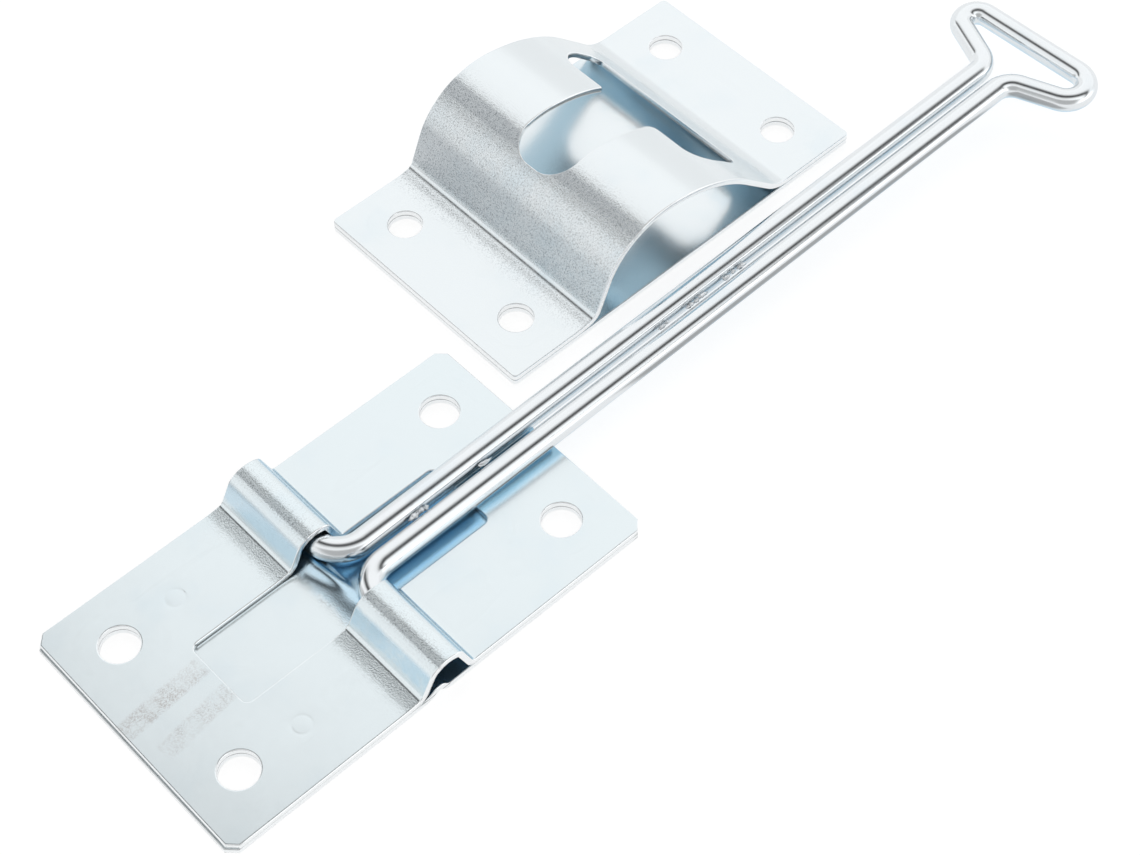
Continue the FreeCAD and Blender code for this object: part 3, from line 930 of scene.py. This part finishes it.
@dataclass(frozen=True)
class Beads:
    """Crusts of plating that dripped into the groove between the shafts.

    Attributes:
        blobs: (s, across, up, length, width, height) of each, where s is the way from the
            hinge along the shafts and up is counted from the shafts' centre plane.
        rings, around: rings of a blob, and points of each.
        lump: how far its points stray, as a share of its size.
        seed: of the lumps.
    """

    blobs: Rows = (
        (13.2, 0.0, 0.85, 0.9, 0.5, 0.4), (14.5, 0.08, 0.9, 0.7, 0.45, 0.42),
        (15.4, -0.05, 0.85, 0.5, 0.4, 0.3), (27.0, 0.0, 0.8, 1.1, 0.36, 0.26),
        (64.3, 0.0, 0.8, 0.8, 0.35, 0.25), (65.4, 0.08, 0.85, 0.4, 0.26, 0.22),
        (70.4, 0.0, 0.85, 0.8, 0.36, 0.3), (71.8, -0.08, 0.85, 0.5, 0.3, 0.26),
        (73.2, 0.04, 0.85, 0.9, 0.38, 0.28), (78.4, 0.0, 0.85, 0.7, 0.34, 0.26),
        (80.1, 0.08, 0.85, 0.45, 0.28, 0.24), (81.9, 0.0, 0.85, 0.9, 0.38, 0.28))
    rings: int = 7
    around: int = 14
    lump: float = 0.22
    seed: int = 7

    def build(self, material: Material) -> None:
        """Make the blobs as one piece.

        A blob is centre plus half sizes times the unit sphere, times one plus a random lump for
        each point, with the sphere's points on a grid of longitude and latitude.

        Args:
            material: the beads' finish.
        """
        luck = np.random.default_rng(self.seed)
        turn = np.linspace(0, 2 * math.pi, self.around, endpoint=False)
        lift = np.linspace(-math.pi / 2, math.pi / 2, self.rings + 2)[1:-1]
        ring = np.stack([np.outer(np.cos(lift), np.cos(turn)), np.outer(np.cos(lift), np.sin(turn)),
                         np.repeat(np.sin(lift)[:, None], self.around, 1)], -1).reshape(-1, 3)
        ball = np.concatenate([ring, [[0, 0, -1], [0, 0, 1]]])
        sizes = np.array(self.blobs)
        lumps = 1 + self.lump * luck.standard_normal((len(sizes), len(ball), 1))
        local = sizes[:, None, :3] + ball[None] * sizes[:, None, 3:] * lumps
        points = WireHook().to_frame(local[..., :2], local[..., 2]).reshape(-1, 3)
        quads, caps = tube_faces(self.rings, self.around, flipped=True)
        faces = []
        for shift in range(0, len(points), len(ball)):
            faces += (quads + shift).tolist() + (caps + shift).tolist()
        made = make_mesh("plating_beads", points, faces, {"path": local.reshape(-1, 3)})
        place(made, material, Body.HOOK, Slot.WIRE)


# Finishes


def rgba(colour: Colour) -> tuple[float, float, float, float]:
    """A colour with full opacity."""
    return (*colour, 1.0)


class Board:
    """A node tree with short ways to add nodes and join them."""

    def __init__(self, tree: Tree) -> None:
        """Start on an empty tree."""
        self.tree = tree
        tree.nodes.clear()

    def add(self, kind: str, settings: dict | None = None, **inputs: object) -> Node:
        """Add a node.

        Args:
            kind: its Blender type.
            settings: its own properties.
            inputs: socket values or sockets, by socket name with spaces as underscores.

        Returns:
            The node.
        """
        node = self.tree.nodes.new(kind)
        for name, value in (settings or {}).items():
            setattr(node, name, value)
        for name, value in inputs.items():
            self.feed(node.inputs[name.replace("_", " ")], value)
        return node

    def feed(self, socket: Socket, value: object) -> None:
        """Link a socket, or set its value.

        Args:
            socket: the input.
            value: a socket to link, or a value.
        """
        if isinstance(value, Socket):
            self.tree.links.new(value, socket)
        else:
            socket.default_value = value

    def filled(self, node: Node, terms: Sequence[object], first: int = 0) -> Outputs:
        """Feed a node's inputs in their order and give its outputs.

        Args:
            node: the node.
            terms: values or sockets.
            first: the input that takes the first of them.

        Returns:
            The node's outputs.
        """
        for socket, term in zip(node.inputs[first:], terms):
            self.feed(socket, term)
        return node.outputs

    def math(self, operation: str, *terms: object) -> Socket:
        """The result of a Math node on up to three terms."""
        return self.filled(self.add("ShaderNodeMath", {"operation": operation}), terms)[0]

    def times(self, *terms: object) -> Socket:
        """The product of its terms.

        Args:
            terms: values or sockets, at least two.

        Returns:
            The product.
        """
        product = terms[0]
        for term in terms[1:]:
            product = self.math("MULTIPLY", product, term)
        return product

    def weighed(self, *terms: tuple[object, float]) -> Socket:
        """The sum of values, each times its weight.

        Args:
            terms: (value, weight) of each, at least two.

        Returns:
            The sum.
        """
        total = self.math("MULTIPLY", *terms[-1])
        for value, weight in reversed(terms[:-1]):
            total = self.math("MULTIPLY_ADD", value, weight, total)
        return total

    def scaled(self, where: object, scales: Triple) -> Socket:
        """A place with each of its parts times its own scale."""
        return self.filled(self.add("ShaderNodeVectorMath", {"operation": "MULTIPLY"}), (where, scales))[0]

    def lean(self, where: object, direction: Triple) -> Socket:
        """The dot product of a place and a direction."""
        node = self.add("ShaderNodeVectorMath", {"operation": "DOT_PRODUCT"})
        return self.filled(node, (where, direction))["Value"]

    def parts(self, vector: object) -> Outputs:
        """The three parts of a vector."""
        return self.add("ShaderNodeSeparateXYZ", Vector=vector).outputs

    def off(self, value: object, middle: float) -> Socket:
        """How far a value lies off a middle, to either side."""
        return self.math("ABSOLUTE", self.math("SUBTRACT", value, middle))

    def blend(self, share: object, low: object, high: object) -> Socket:
        """A mix of two colours.

        Args:
            share: of the high colour.
            low, high: colours or sockets.

        Returns:
            The mixed colour.
        """
        node = self.add("ShaderNodeMix", {"data_type": "RGBA"})
        self.feed(node.inputs[0], share)
        return self.filled(node, (low, high), 6)[2]

    def steps(self, value: object, low: float, high: float, to_low: float = 0.0, to_high: float = 1.0) -> Socket:
        """A smooth step between two values."""
        node = self.add("ShaderNodeMapRange", {"interpolation_type": "SMOOTHSTEP"})
        return self.filled(node, (value, low, high, to_low, to_high))[0]

    def noise(self, where: object, scale: float, detail: float = 2.0, rough: float = 0.5) -> Socket:
        """A noise value around one half."""
        node = self.add("ShaderNodeTexNoise", Vector=where, Scale=scale, Detail=detail, Roughness=rough)
        return node.outputs[0]

    def streaks(self, where: object, scales: Triple, detail: float = 2.0, rough: float = 0.5) -> Socket:
        """A noise value with its own scale along each axis."""
        return self.noise(self.scaled(where, scales), 1.0, detail, rough)

    def curve(self, value: object, levels: Levels) -> tuple[Socket, Socket, float]:
        """A grey that runs straight between levels.

        Args:
            value: what the levels are counted over.
            levels: (value, level) in order.

        Returns:
            The grey as a share of the highest level, the way from the first value to the last
            as 0 to 1, and the highest level.
        """
        first, last = levels[0][0], levels[-1][0]
        peak = max(level for _, level in levels)
        share = self.math("DIVIDE", self.math("SUBTRACT", value, first), last - first)
        ramp = self.add("ShaderNodeValToRGB", Fac=share)
        stops = ramp.color_ramp.elements
        for i, (spot, level) in enumerate(levels):
            stop = stops[i] if i < 2 else stops.new(1.0)
            stop.position = (spot - first) / (last - first)
            stop.color = rgba((level / peak,) * 3)
        return ramp.outputs[0], share, peak

    def mark(self, title: str, output: str = "Fac") -> Socket:
        """One of the mesh's marks."""
        return self.add("ShaderNodeAttribute", {"attribute_name": title}).outputs[output]

    def effect(self, tree: Tree, **inputs: object) -> Outputs:
        """Place a shared effect and give its outputs."""
        return self.add("ShaderNodeGroup", {"node_tree": tree}, **inputs).outputs

    def surface(self, shader: Socket, kind: str = "Material") -> None:
        """Give the tree its result."""
        self.feed(self.add("ShaderNodeOutput" + kind).inputs["Surface"], shader)

    def metal(self, colour: object, rough: object, height: object, relief: float) -> None:
        """Give the tree metal as its result, with a height whose 1 is the relief in metres.

        Args:
            colour: of the metal.
            rough: its roughness.
            height: of its surface, around 0 to 1.
            relief: what a height of 1 is.
        """
        bump = self.add("ShaderNodeBump", Distance=relief, Height=height)
        shader = self.add("ShaderNodeBsdfPrincipled", Base_Color=colour, Metallic=1.0, Roughness=rough,
                          Normal=bump.outputs[0])
        self.surface(shader.outputs[0])


def new_material(name: str) -> tuple[Material, Board]:
    """A new material and its board.

    Args:
        name: of the material.

    Returns:
        The material and the board of its tree.
    """
    made = bpy.data.materials.new(name)
    made.use_nodes = True
    return made, Board(made.node_tree)


def new_effect(name: str, inputs: dict[str, str], outputs: dict[str, str]) -> tuple[Tree, Board, dict, dict]:
    """Start a shared effect as a shader node group.

    Args:
        name: of the group.
        inputs: socket type by name, without the leading NodeSocket.
        outputs: the same for what it gives.

    Returns:
        The group, its board, and its inner sockets by name for inputs and outputs.
    """
    tree = bpy.data.node_groups.new(name, "ShaderNodeTree")
    for titles, side in ((inputs, "INPUT"), (outputs, "OUTPUT")):
        for title, kind in titles.items():
            tree.interface.new_socket(title, in_out=side, socket_type="NodeSocket" + kind)
    board = Board(tree)
    return tree, board, board.add("NodeGroupInput").outputs, board.add("NodeGroupOutput").inputs


def plating_clouds() -> Tree:
    """Slow and fine clouds of tint and gloss, with the bluish painted shade: plain where Shade is 0, blotchy and
    bluish where it is 1.

    Returns:
        The group.
    """
    tree, board, given, out = new_effect(
        "plating_clouds",
        {"Where": "Vector", "Plain": "Color", "Blue": "Color", "Shade": "Float", "Rim": "Float",
         "Rough": "Float"},
        {"Color": "Color", "Roughness": "Float"})
    slow = board.noise(given["Where"], scale=0.11, detail=3.0)
    fine = board.noise(given["Where"], scale=0.8, detail=4.0, rough=0.6)
    both = board.weighed((slow, 0.6), (fine, 0.4))
    # Shade is painted shade: it tints the plating bluish in blotches, and is left off the cut edges.
    blotch = board.steps(board.math("MULTIPLY_ADD", given["Shade"], 0.3, both), 0.42, 0.72)
    shade = board.times(given["Shade"], board.math("SUBTRACT", 1.0, given["Rim"]))
    share = board.math("MULTIPLY_ADD", shade, blotch, board.steps(slow, 0.5, 0.8, 0.0, 0.12))
    rough = board.math("MULTIPLY_ADD", board.math("SUBTRACT", both, 0.5), 0.12, given["Rough"])
    board.feed(out["Color"], board.blend(share, given["Plain"], given["Blue"]))
    board.feed(out["Roughness"], rough)
    return tree


def bend_grain() -> Tree:
    """The orange-peel grain of a stretched bend, with lines along the bend and streaks across it.

    Height is strain times the grain, with a trace of it on the flats. Pits are the deepest
    grains. Roughness is what the strain adds.

    Returns:
        The group.
    """
    tree, board, given, out = new_effect(
        "bend_grain", {"Where": "Vector", "Strain": "Float", "Rim": "Float"},
        {"Height": "Float", "Pits": "Float", "Roughness": "Float"})
    where, strain_and_shade = given["Where"], given["Strain"]
    peel = board.noise(where, scale=4.2, detail=3.0, rough=0.65)
    lines = board.streaks(where, (6.0, 0.8, 6.0))
    across = board.streaks(where, (0.4, 4.5, 0.4))
    sheared = board.streaks(where, (6.0, 6.0, 0.7))
    mixed = board.weighed((peel, 0.88), (lines, 0.07), (across, 0.05))
    bend = board.times(mixed, board.math("MAXIMUM", strain_and_shade, 0.010))
    rim = board.times(given["Rim"], sheared, 0.15)
    board.feed(out["Height"], board.math("ADD", bend, rim))
    board.feed(out["Pits"], board.times(board.steps(mixed, 0.5, 0.63), strain_and_shade))
    board.feed(out["Roughness"], board.times(board.math("SUBTRACT", peel, 0.9), board.times(strain_and_shade, 0.27)))
    return tree


def rub_specks() -> Tree:
    """Dark specks and smears left by rubbing, as dense as Amount says.

    Returns:
        The group.
    """
    tree, board, given, out = new_effect(
        "rub_specks", {"Where": "Vector", "Amount": "Float"}, {"Mask": "Float"})
    specks = board.noise(given["Where"], scale=3.6, detail=3.0, rough=0.7)
    smear = board.streaks(given["Where"], (1.6, 0.5, 1.0))
    level = board.weighed((specks, 0.7), (smear, 0.3))
    board.feed(out["Mask"], board.times(board.steps(level, 0.44, 0.6, 0.12, 1.0), given["Amount"]))
    return tree


@dataclass(frozen=True)
class Effects:
    """The shared effects, each built once."""

    clouds: Tree
    grain: Tree
    specks: Tree

    @classmethod
    def build(cls) -> "Effects":
        """Make the node groups."""
        return cls(plating_clouds(), bend_grain(), rub_specks())


def in_millimetres(board: Board) -> Socket:
    """Object coordinates counted in millimetres."""
    return board.scaled(board.add("ShaderNodeTexCoord").outputs["Object"], (1 / MM,) * 3)


@dataclass(frozen=True)
class PlateZinc:
    """Bright zinc on folded sheet: satin flats, grainy where a bend stretched it, with painted shade in the
    recesses, on the under faces and on the bends, and a painted highlight along the cut edges.

    Attributes:
        name: the material's name.
        plain: colour of the plain plating.
        shade_blue: colour of the painted shade in the recesses and on the under faces.
        rough: roughness of the flats.
        rubs: (x and y of the middle, half length, half width, turn in degrees, strength) of the
            bands that packing rubbed on the front sheet's top face.
        top: heights over the floor between which that face begins.
        pits, edge, bend_shade, seam_shade, worn: colours of the deepest grains, the painted
            highlight along the cut edges (partly the brighter sheared metal), the painted shade
            on the bends stretched most, the painted shade in the crack between both sheets and
            the rubbed specks.
        relief: depth of the grain in metres.
    """

    name: str
    plain: Colour
    shade_blue: Colour = (0.52, 0.69, 0.79)
    rough: float = 0.28
    rubs: Rows = ()
    top: Pair = (1.8, 1.9)
    pits: Colour = (0.22, 0.25, 0.27)
    edge: Colour = (0.96, 0.98, 0.99)
    bend_shade: Colour = (0.36, 0.39, 0.42)
    seam_shade: Colour = (0.12, 0.13, 0.14)
    worn: Colour = (0.50, 0.43, 0.40)
    relief: float = 0.00008

    def rubbed(self, board: Board, where: Socket) -> Socket:
        """How strongly each place is rubbed: the strongest of the soft bands, on the top face only.

        Args:
            board: the material's board.
            where: the place in millimetres.

        Returns:
            The strength.
        """
        amount: object = 0.0
        patchy = board.steps(board.noise(where, 0.35, 1.0), 0.35, 0.6, 0.35, 1.0)
        for x, y, long, wide, turn, strength in self.rubs:
            turned = board.add("ShaderNodeMapping", {"vector_type": "TEXTURE"}, Vector=where,
                               Location=(x, y, 0.0), Rotation=(0.0, 0.0, math.radians(turn)))
            parts = board.parts(turned.outputs[0])
            along = board.steps(board.off(parts[0], 0.0), long - 1.5, long, strength, 0.0)
            across = board.steps(board.off(parts[1], 0.0), 0.6 * wide, wide, 1.0, 0.0)
            amount = board.math("MAXIMUM", amount, board.times(along, across))
        return board.times(amount, patchy, board.steps(board.parts(where)[2], *self.top))

    def material(self, effects: Effects) -> Material:
        """The finish as a material: the plating's clouds with each coat over them in turn.

        Args:
            effects: the shared effects.

        Returns:
            The material.
        """
        made, board = new_material(self.name)
        where = in_millimetres(board)
        strain_and_shade, rim = board.mark("strain_and_shade"), board.mark("rim")
        # The shade mark tints the plating bluish as painted shade.
        clouds = board.effect(effects.clouds, Where=where, Plain=rgba(self.plain), Blue=rgba(self.shade_blue),
                              Shade=board.mark("shade"), Rim=rim, Rough=self.rough)
        grain = board.effect(effects.grain, Where=where, Strain=strain_and_shade, Rim=rim)
        rough = board.math("ADD", clouds["Roughness"], grain["Roughness"])
        # A band at the joint of the two sheets, where a dark line is painted as the shade in the crack.
        between = board.steps(board.off(board.parts(where)[2], GAUGE), 0.03, 0.13, 0.8, 0.0)
        # Coats: dark grain pits, a painted highlight along the cut edges (partly the brighter sheared metal),
        # painted shade on the bends stretched most, and painted shade in the crack between both sheets.
        coats = [(board.times(grain["Pits"], 0.45), self.pits),
                 (board.steps(rim, 0.35, 0.8, 0.0, 0.9), self.edge),
                 (board.steps(strain_and_shade, 1.2, 2.0, 0.0, 0.46), self.bend_shade),
                 (board.times(between, board.steps(rim, 0.7, 0.9)), self.seam_shade)]
        if self.rubs:
            worn = board.effect(effects.specks, Where=where, Amount=self.rubbed(board, where))["Mask"]
            coats.append((worn, self.worn))
            rough = board.math("MULTIPLY_ADD", worn, 0.2, rough)
        colour = clouds["Color"]
        for share, coat in coats:
            colour = board.blend(share, colour, rgba(coat))
        board.metal(colour, rough, grain["Height"], self.relief)
        return made


@dataclass(frozen=True)
class WireZinc:
    """Bright zinc on drawn wire: fine lines along it, a pale bluish painted reflection on its lower side and a
    few dark ticks.

    Attributes:
        name: the material's name.
        plain: colour of the upper side.
        shade_blue: colour of the painted reflection on the lower side.
        tick: colour of the ticks.
        rough: its roughness.
        coarse: depth of a crusty grain over it, 0 for the smooth wire.
        relief: depth of the lines and the grain in metres.
    """

    name: str
    plain: Colour = (0.82, 0.85, 0.87)
    shade_blue: Colour = (0.45, 0.69, 0.85)
    tick: Colour = (0.33, 0.37, 0.40)
    rough: float = 0.14
    coarse: float = 0.0
    relief: float = 0.00003

    def material(self, effects: Effects) -> Material:
        """The finish as a material.

        Args:
            effects: the shared effects.

        Returns:
            The material.
        """
        made, board = new_material(self.name)
        where = in_millimetres(board)
        path = board.mark("path", "Vector")
        drawn = board.streaks(path, (0.03, 4.0, 4.0), detail=3.0, rough=0.6)
        ticks = board.streaks(path, (0.35, 2.6, 2.6))
        # The lower side, tinted bluish as a painted reflection.
        under = board.steps(board.parts(path)[2], 0.4, -1.6)
        clouds = board.effect(effects.clouds, Where=where, Plain=rgba(self.plain), Blue=rgba(self.shade_blue),
                              Shade=under, Rim=0.0, Rough=self.rough)
        patches = board.steps(board.noise(where, 0.25), 0.5, 0.6, 0.0, 0.6)
        marks = board.times(board.steps(ticks, 0.70, 0.76), patches)
        colour = board.blend(marks, clouds["Color"], rgba(self.tick))
        rough = board.math("MULTIPLY_ADD", drawn, 0.06, clouds["Roughness"])
        height = board.weighed((drawn, 0.12), (board.noise(where, 3.0, 3.0), 0.03 + self.coarse))
        board.metal(colour, rough, height, self.relief)
        return made


# Studio


@dataclass(frozen=True)
class Studio:
    """A pale floor in a white room, with one great overhead cloth that has a dark gap across it.

    The cloth lies level over the object. Along is the way from the camera, across is to the
    camera's right. Its light is a function of how far a place lies past the gap's middle, which
    is a polynomial of across. All lengths are metres, and directions are degrees from X.

    Attributes:
        away: unit direction on the floor away from the camera.
        height: of the cloth over the floor.
        span: the cloth's ends along and across.
        fade: width of its soft border.
        gap: the gap's middle as the terms of the polynomial, the constant first.
        light: (way past the gap, radiance) in order.
        narrow: what the way past the gap counts for far on the camera's left, where the gap is wider.
        narrow_span: across where that begins and is full.
        right: how much brighter the near part is on the camera's right.
        right_span: across where that begins and is full.
        near_span: share of the light's curve where the near part begins and is full.
        room: radiance of the room at low angles.
        corner: (degrees from the dark corner on the left, share of the room's radiance) in order.
        corner_side: azimuth of that corner.
        behind: radiance of the room behind the camera.
        behind_side: azimuth and elevation of that part.
        behind_reach: cosines off it where the dimness begins and is full.
        flank: what a white card low on the right adds.
        flank_side, flank_reach: the same for that card.
        grey: of the matt floor.
        glow: radiance that the floor adds where it is white.
        mirrored: share of the floor's white that the metal reflects.
        shadow_cards: (x, y, half sizes, soft border, share lost) of grey patches of floor that only the metal
            reflects, as painted shadow near the latch.
        floor: half the floor's side, and its height.
    """

    away: Pair = (0.6796, 0.7336)
    height: float = 0.45
    span: tuple[float, float, float, float] = (-0.45, 1.0, -1.0, 1.2)
    fade: float = 0.12
    gap: tuple[float, ...] = (-0.018, -0.2, 1.05, -0.3, -0.85)
    light: Levels = (
        (-0.9, 0.97), (-0.5, 1.0), (-0.25, 1.0), (-0.18, 0.93), (-0.13, 0.76), (-0.09, 0.46),
        (-0.05, 0.17), (-0.02, 0.05), (0.03, 0.05), (0.06, 0.10), (0.09, 0.28), (0.125, 0.60),
        (0.17, 0.92), (0.22, 1.06), (1.0, 1.12))
    narrow: float = 0.7
    narrow_span: Pair = (-0.1, -0.25)
    right: float = 1.2
    right_span: Pair = (0.05, 0.45)
    near_span: Pair = (0.49, 0.35)
    room: float = 0.96
    corner: Levels = ((0, 0.45), (12, 0.55), (16, 0.85), (20, 1.08), (28, 1.14), (40, 1.0))
    corner_side: float = 136.0
    behind: float = 0.5
    behind_side: Pair = (-133.0, 38.0)
    behind_reach: Pair = (0.62, 0.88)
    flank: float = 0.5
    flank_side: Pair = (-66.0, 0.0)
    flank_reach: Pair = (0.75, 0.95)
    grey: float = 0.3
    glow: float = 0.82
    mirrored: float = 0.9
    shadow_cards: Rows = (
        (-0.03, 0.088, 0.062, 0.042, 0.014, 0.78), (0.1, -0.0135, 0.042, 0.0085, 0.003, 0.62))
    floor: Pair = (4.0, -1e-5)

    def stage_piece(self, name: str, rows: list, shader: Callable[[Board], Socket]) -> Object:
        """A flat piece of the studio with its own material.

        Args:
            name: its name.
            rows: its corners in order.
            shader: gives the surface on the material's board.

        Returns:
            The object.
        """
        mesh = bpy.data.meshes.new(name)
        mesh.from_pydata(rows, [], [(0, 1, 2, 3)])
        made = bpy.data.objects.new(name, mesh)
        bpy.context.scene.collection.objects.link(made)
        look, board = new_material(name)
        board.surface(shader(board))
        mesh.materials.append(look)
        return made

    def floor_surface(self, board: Board) -> Socket:
        """Matt grey that keeps the shadow, plus white for the camera.

        The metal's reflections get their share of the white too, except on the grey patches, where the floor is
        painted darker as shadow for the reflections only.

        Args:
            board: the floor's board.

        Returns:
            The surface.
        """
        path = board.add("ShaderNodeLightPath").outputs
        parts = board.parts(board.add("ShaderNodeTexCoord").outputs["Object"])
        mirrored: object = self.mirrored
        # Grey patches that the metal sees darker on the floor, as painted shadow in its reflections.
        for x, y, half_x, half_y, soft, loss in self.shadow_cards:
            sides = ((parts[0], x, half_x, loss), (parts[1], y, half_y, 1.0))
            over = [board.steps(board.off(part, middle), half - soft, half + soft, level, 0.0)
                    for part, middle, half, level in sides]
            mirrored = board.math("SUBTRACT", mirrored, board.times(*over))
        seen = board.math("MAXIMUM", path["Is Camera Ray"], board.times(path["Is Glossy Ray"], mirrored))
        matt = board.add("ShaderNodeBsdfDiffuse", Color=rgba((self.grey,) * 3))
        glow = board.add("ShaderNodeEmission", Color=(1, 1, 1, 1), Strength=board.times(seen, self.glow))
        return board.filled(board.add("ShaderNodeAddShader"), (matt.outputs[0], glow.outputs[0]))[0]

    def cloth_surface(self, board: Board) -> Socket:
        """Light by the distance past the gap, clear towards the borders.

        Args:
            board: the cloth's board.

        Returns:
            The surface.
        """
        ux, uy = self.away
        where = board.add("ShaderNodeTexCoord").outputs["Object"]
        along, across = board.lean(where, (ux, uy, 0.0)), board.lean(where, (uy, -ux, 0.0))
        middle: object = 0.0
        for term in reversed(self.gap):
            middle = board.math("MULTIPLY_ADD", middle, across, term)
        past = board.times(board.math("SUBTRACT", along, middle),
                           board.steps(across, *self.narrow_span, 1.0, self.narrow))
        curve, share, peak = board.curve(past, self.light)
        near = board.times(board.steps(across, *self.right_span, 0.0, self.right - 1),
                           board.steps(share, *self.near_span))
        glow = board.add("ShaderNodeEmission", Color=curve, Strength=board.math("MULTIPLY_ADD", near, peak, peak))
        low_u, high_u, low_v, high_v = self.span
        borders = ((along, low_u, self.fade), (along, high_u, -self.fade),
                   (across, low_v, self.fade), (across, high_v, -self.fade))
        solid = board.times(*[board.steps(way, end, end + inward) for way, end, inward in borders])
        clear = board.add("ShaderNodeBsdfTransparent")
        mix = board.add("ShaderNodeMixShader", Fac=solid)
        return board.filled(mix, (clear.outputs[0], glow.outputs[0]), 1)[0]

    def floor_and_cloth(self) -> None:
        """Lay the floor and hang the cloth."""
        reach, under = self.floor
        square = ((-reach, -reach), (reach, -reach), (reach, reach), (-reach, reach))
        self.stage_piece("floor", [(x, y, under) for x, y in square], self.floor_surface)
        ux, uy = self.away
        low_u, high_u, low_v, high_v = self.span
        ends = ((low_u, low_v), (low_u, high_v), (high_u, high_v), (high_u, low_v))
        rows = [(u * ux + v * uy, u * uy - v * ux, self.height) for u, v in ends]
        cloth = self.stage_piece("overhead_cloth", rows, self.cloth_surface)
        cloth.visible_camera = False
        cloth.visible_shadow = False

    @staticmethod
    def toward(azimuth: float, elevation: float = 0.0) -> Triple:
        """The unit vector at an azimuth and an elevation in degrees."""
        a, e = math.radians(azimuth), math.radians(elevation)
        return (math.cos(a) * math.cos(e), math.sin(a) * math.cos(e), math.sin(e))

    def world(self) -> None:
        """White where the camera sees it, and the room elsewhere: dimmer on the left and behind the camera."""
        room = bpy.data.worlds.new("room")
        bpy.context.scene.world = room
        room.use_nodes = True
        board = Board(room.node_tree)
        path = board.add("ShaderNodeLightPath")
        where = board.add("ShaderNodeTexCoord").outputs["Generated"]
        left = board.lean(where, self.toward(self.corner_side))
        turned = board.math("DEGREES", board.math("ARCCOSINE", left))
        corner, _, peak = board.curve(turned, self.corner)
        behind = board.lean(where, self.toward(*self.behind_side))
        right = board.lean(where, self.toward(*self.flank_side))
        dim = board.steps(behind, *self.behind_reach, self.room, self.behind)
        flank = board.steps(right, *self.flank_reach, 0.0, self.flank)
        level = board.math("ADD", board.times(corner, peak, dim), flank)
        seen = board.math("MAXIMUM", level, path.outputs["Is Camera Ray"])
        back = board.add("ShaderNodeBackground", Color=(1, 1, 1, 1), Strength=seen)
        board.surface(back.outputs[0], "World")

    def build(self) -> None:
        """Set up the whole studio."""
        self.floor_and_cloth()
        self.world()
        bpy.context.scene.view_settings.view_transform = "Standard"


@dataclass(frozen=True)
class PhotoCamera:
    """The camera where the photograph was taken from.

    Attributes:
        place: in metres in the frame.
        right, down, ahead: the camera's axes.
        lens: focal length in millimetres.
        sensor: its width in millimetres.
        nearest: the shortest way that it sees, in metres.
    """

    place: Triple = (-0.10009, -0.15677, 0.28895)
    right: Triple = (0.730839, -0.682543, -0.002959)
    down: Triple = (-0.551459, -0.587914, -0.591820)
    ahead: Triple = (0.402203, 0.434157, -0.806065)
    lens: float = 73.29
    sensor: float = 36.0
    nearest: float = 0.01

    def build(self) -> None:
        """Make the camera and use it."""
        data = bpy.data.cameras.new("camera")
        data.lens = self.lens
        data.sensor_width = self.sensor
        data.sensor_fit = "HORIZONTAL"
        data.clip_start = self.nearest
        camera = bpy.data.objects.new("camera", data)
        bpy.context.scene.collection.objects.link(camera)
        axes = np.array([self.right, [-v for v in self.down], [-v for v in self.ahead]]).T
        matrix = Matrix(axes.tolist()).to_4x4()
        matrix.translation = Vector(self.place)
        camera.matrix_world = matrix
        bpy.context.scene.camera = camera


def main() -> None:
    """Build the studio and the latch, and report each piece."""
    logging.basicConfig(level=logging.INFO, format="%(message)s")
    PhotoCamera().build()
    Studio().build()
    effects = Effects.build()
    rubs = ((-31.6, 2.3, 8.4, 2.0, 5.0, 0.5), (-29.8, -3.8, 7.2, 1.9, 8.0, 0.3))
    holder = PlateZinc("holder_bright_zinc", plain=(0.765, 0.833, 0.858), shade_blue=(0.56, 0.74, 0.86),
                       rough=0.23, rubs=rubs).material(effects)
    keeper = PlateZinc("keeper_bright_zinc", plain=(0.80, 0.845, 0.865), rough=0.21).material(effects)
    drawn = WireZinc("drawn_wire_zinc").material(effects)
    crust = WireZinc("plating_bead_zinc", rough=0.3, coarse=1.5).material(effects)
    Holder(welds=((-19.9, 14.6), (-19.65, -14.3), (19.7, -15.4), (21.2, 15.1))).build(holder)
    Keeper().build(keeper)
    WireHook().build(drawn)
    Beads().build(crust)


if __name__ == "__main__":
    main()
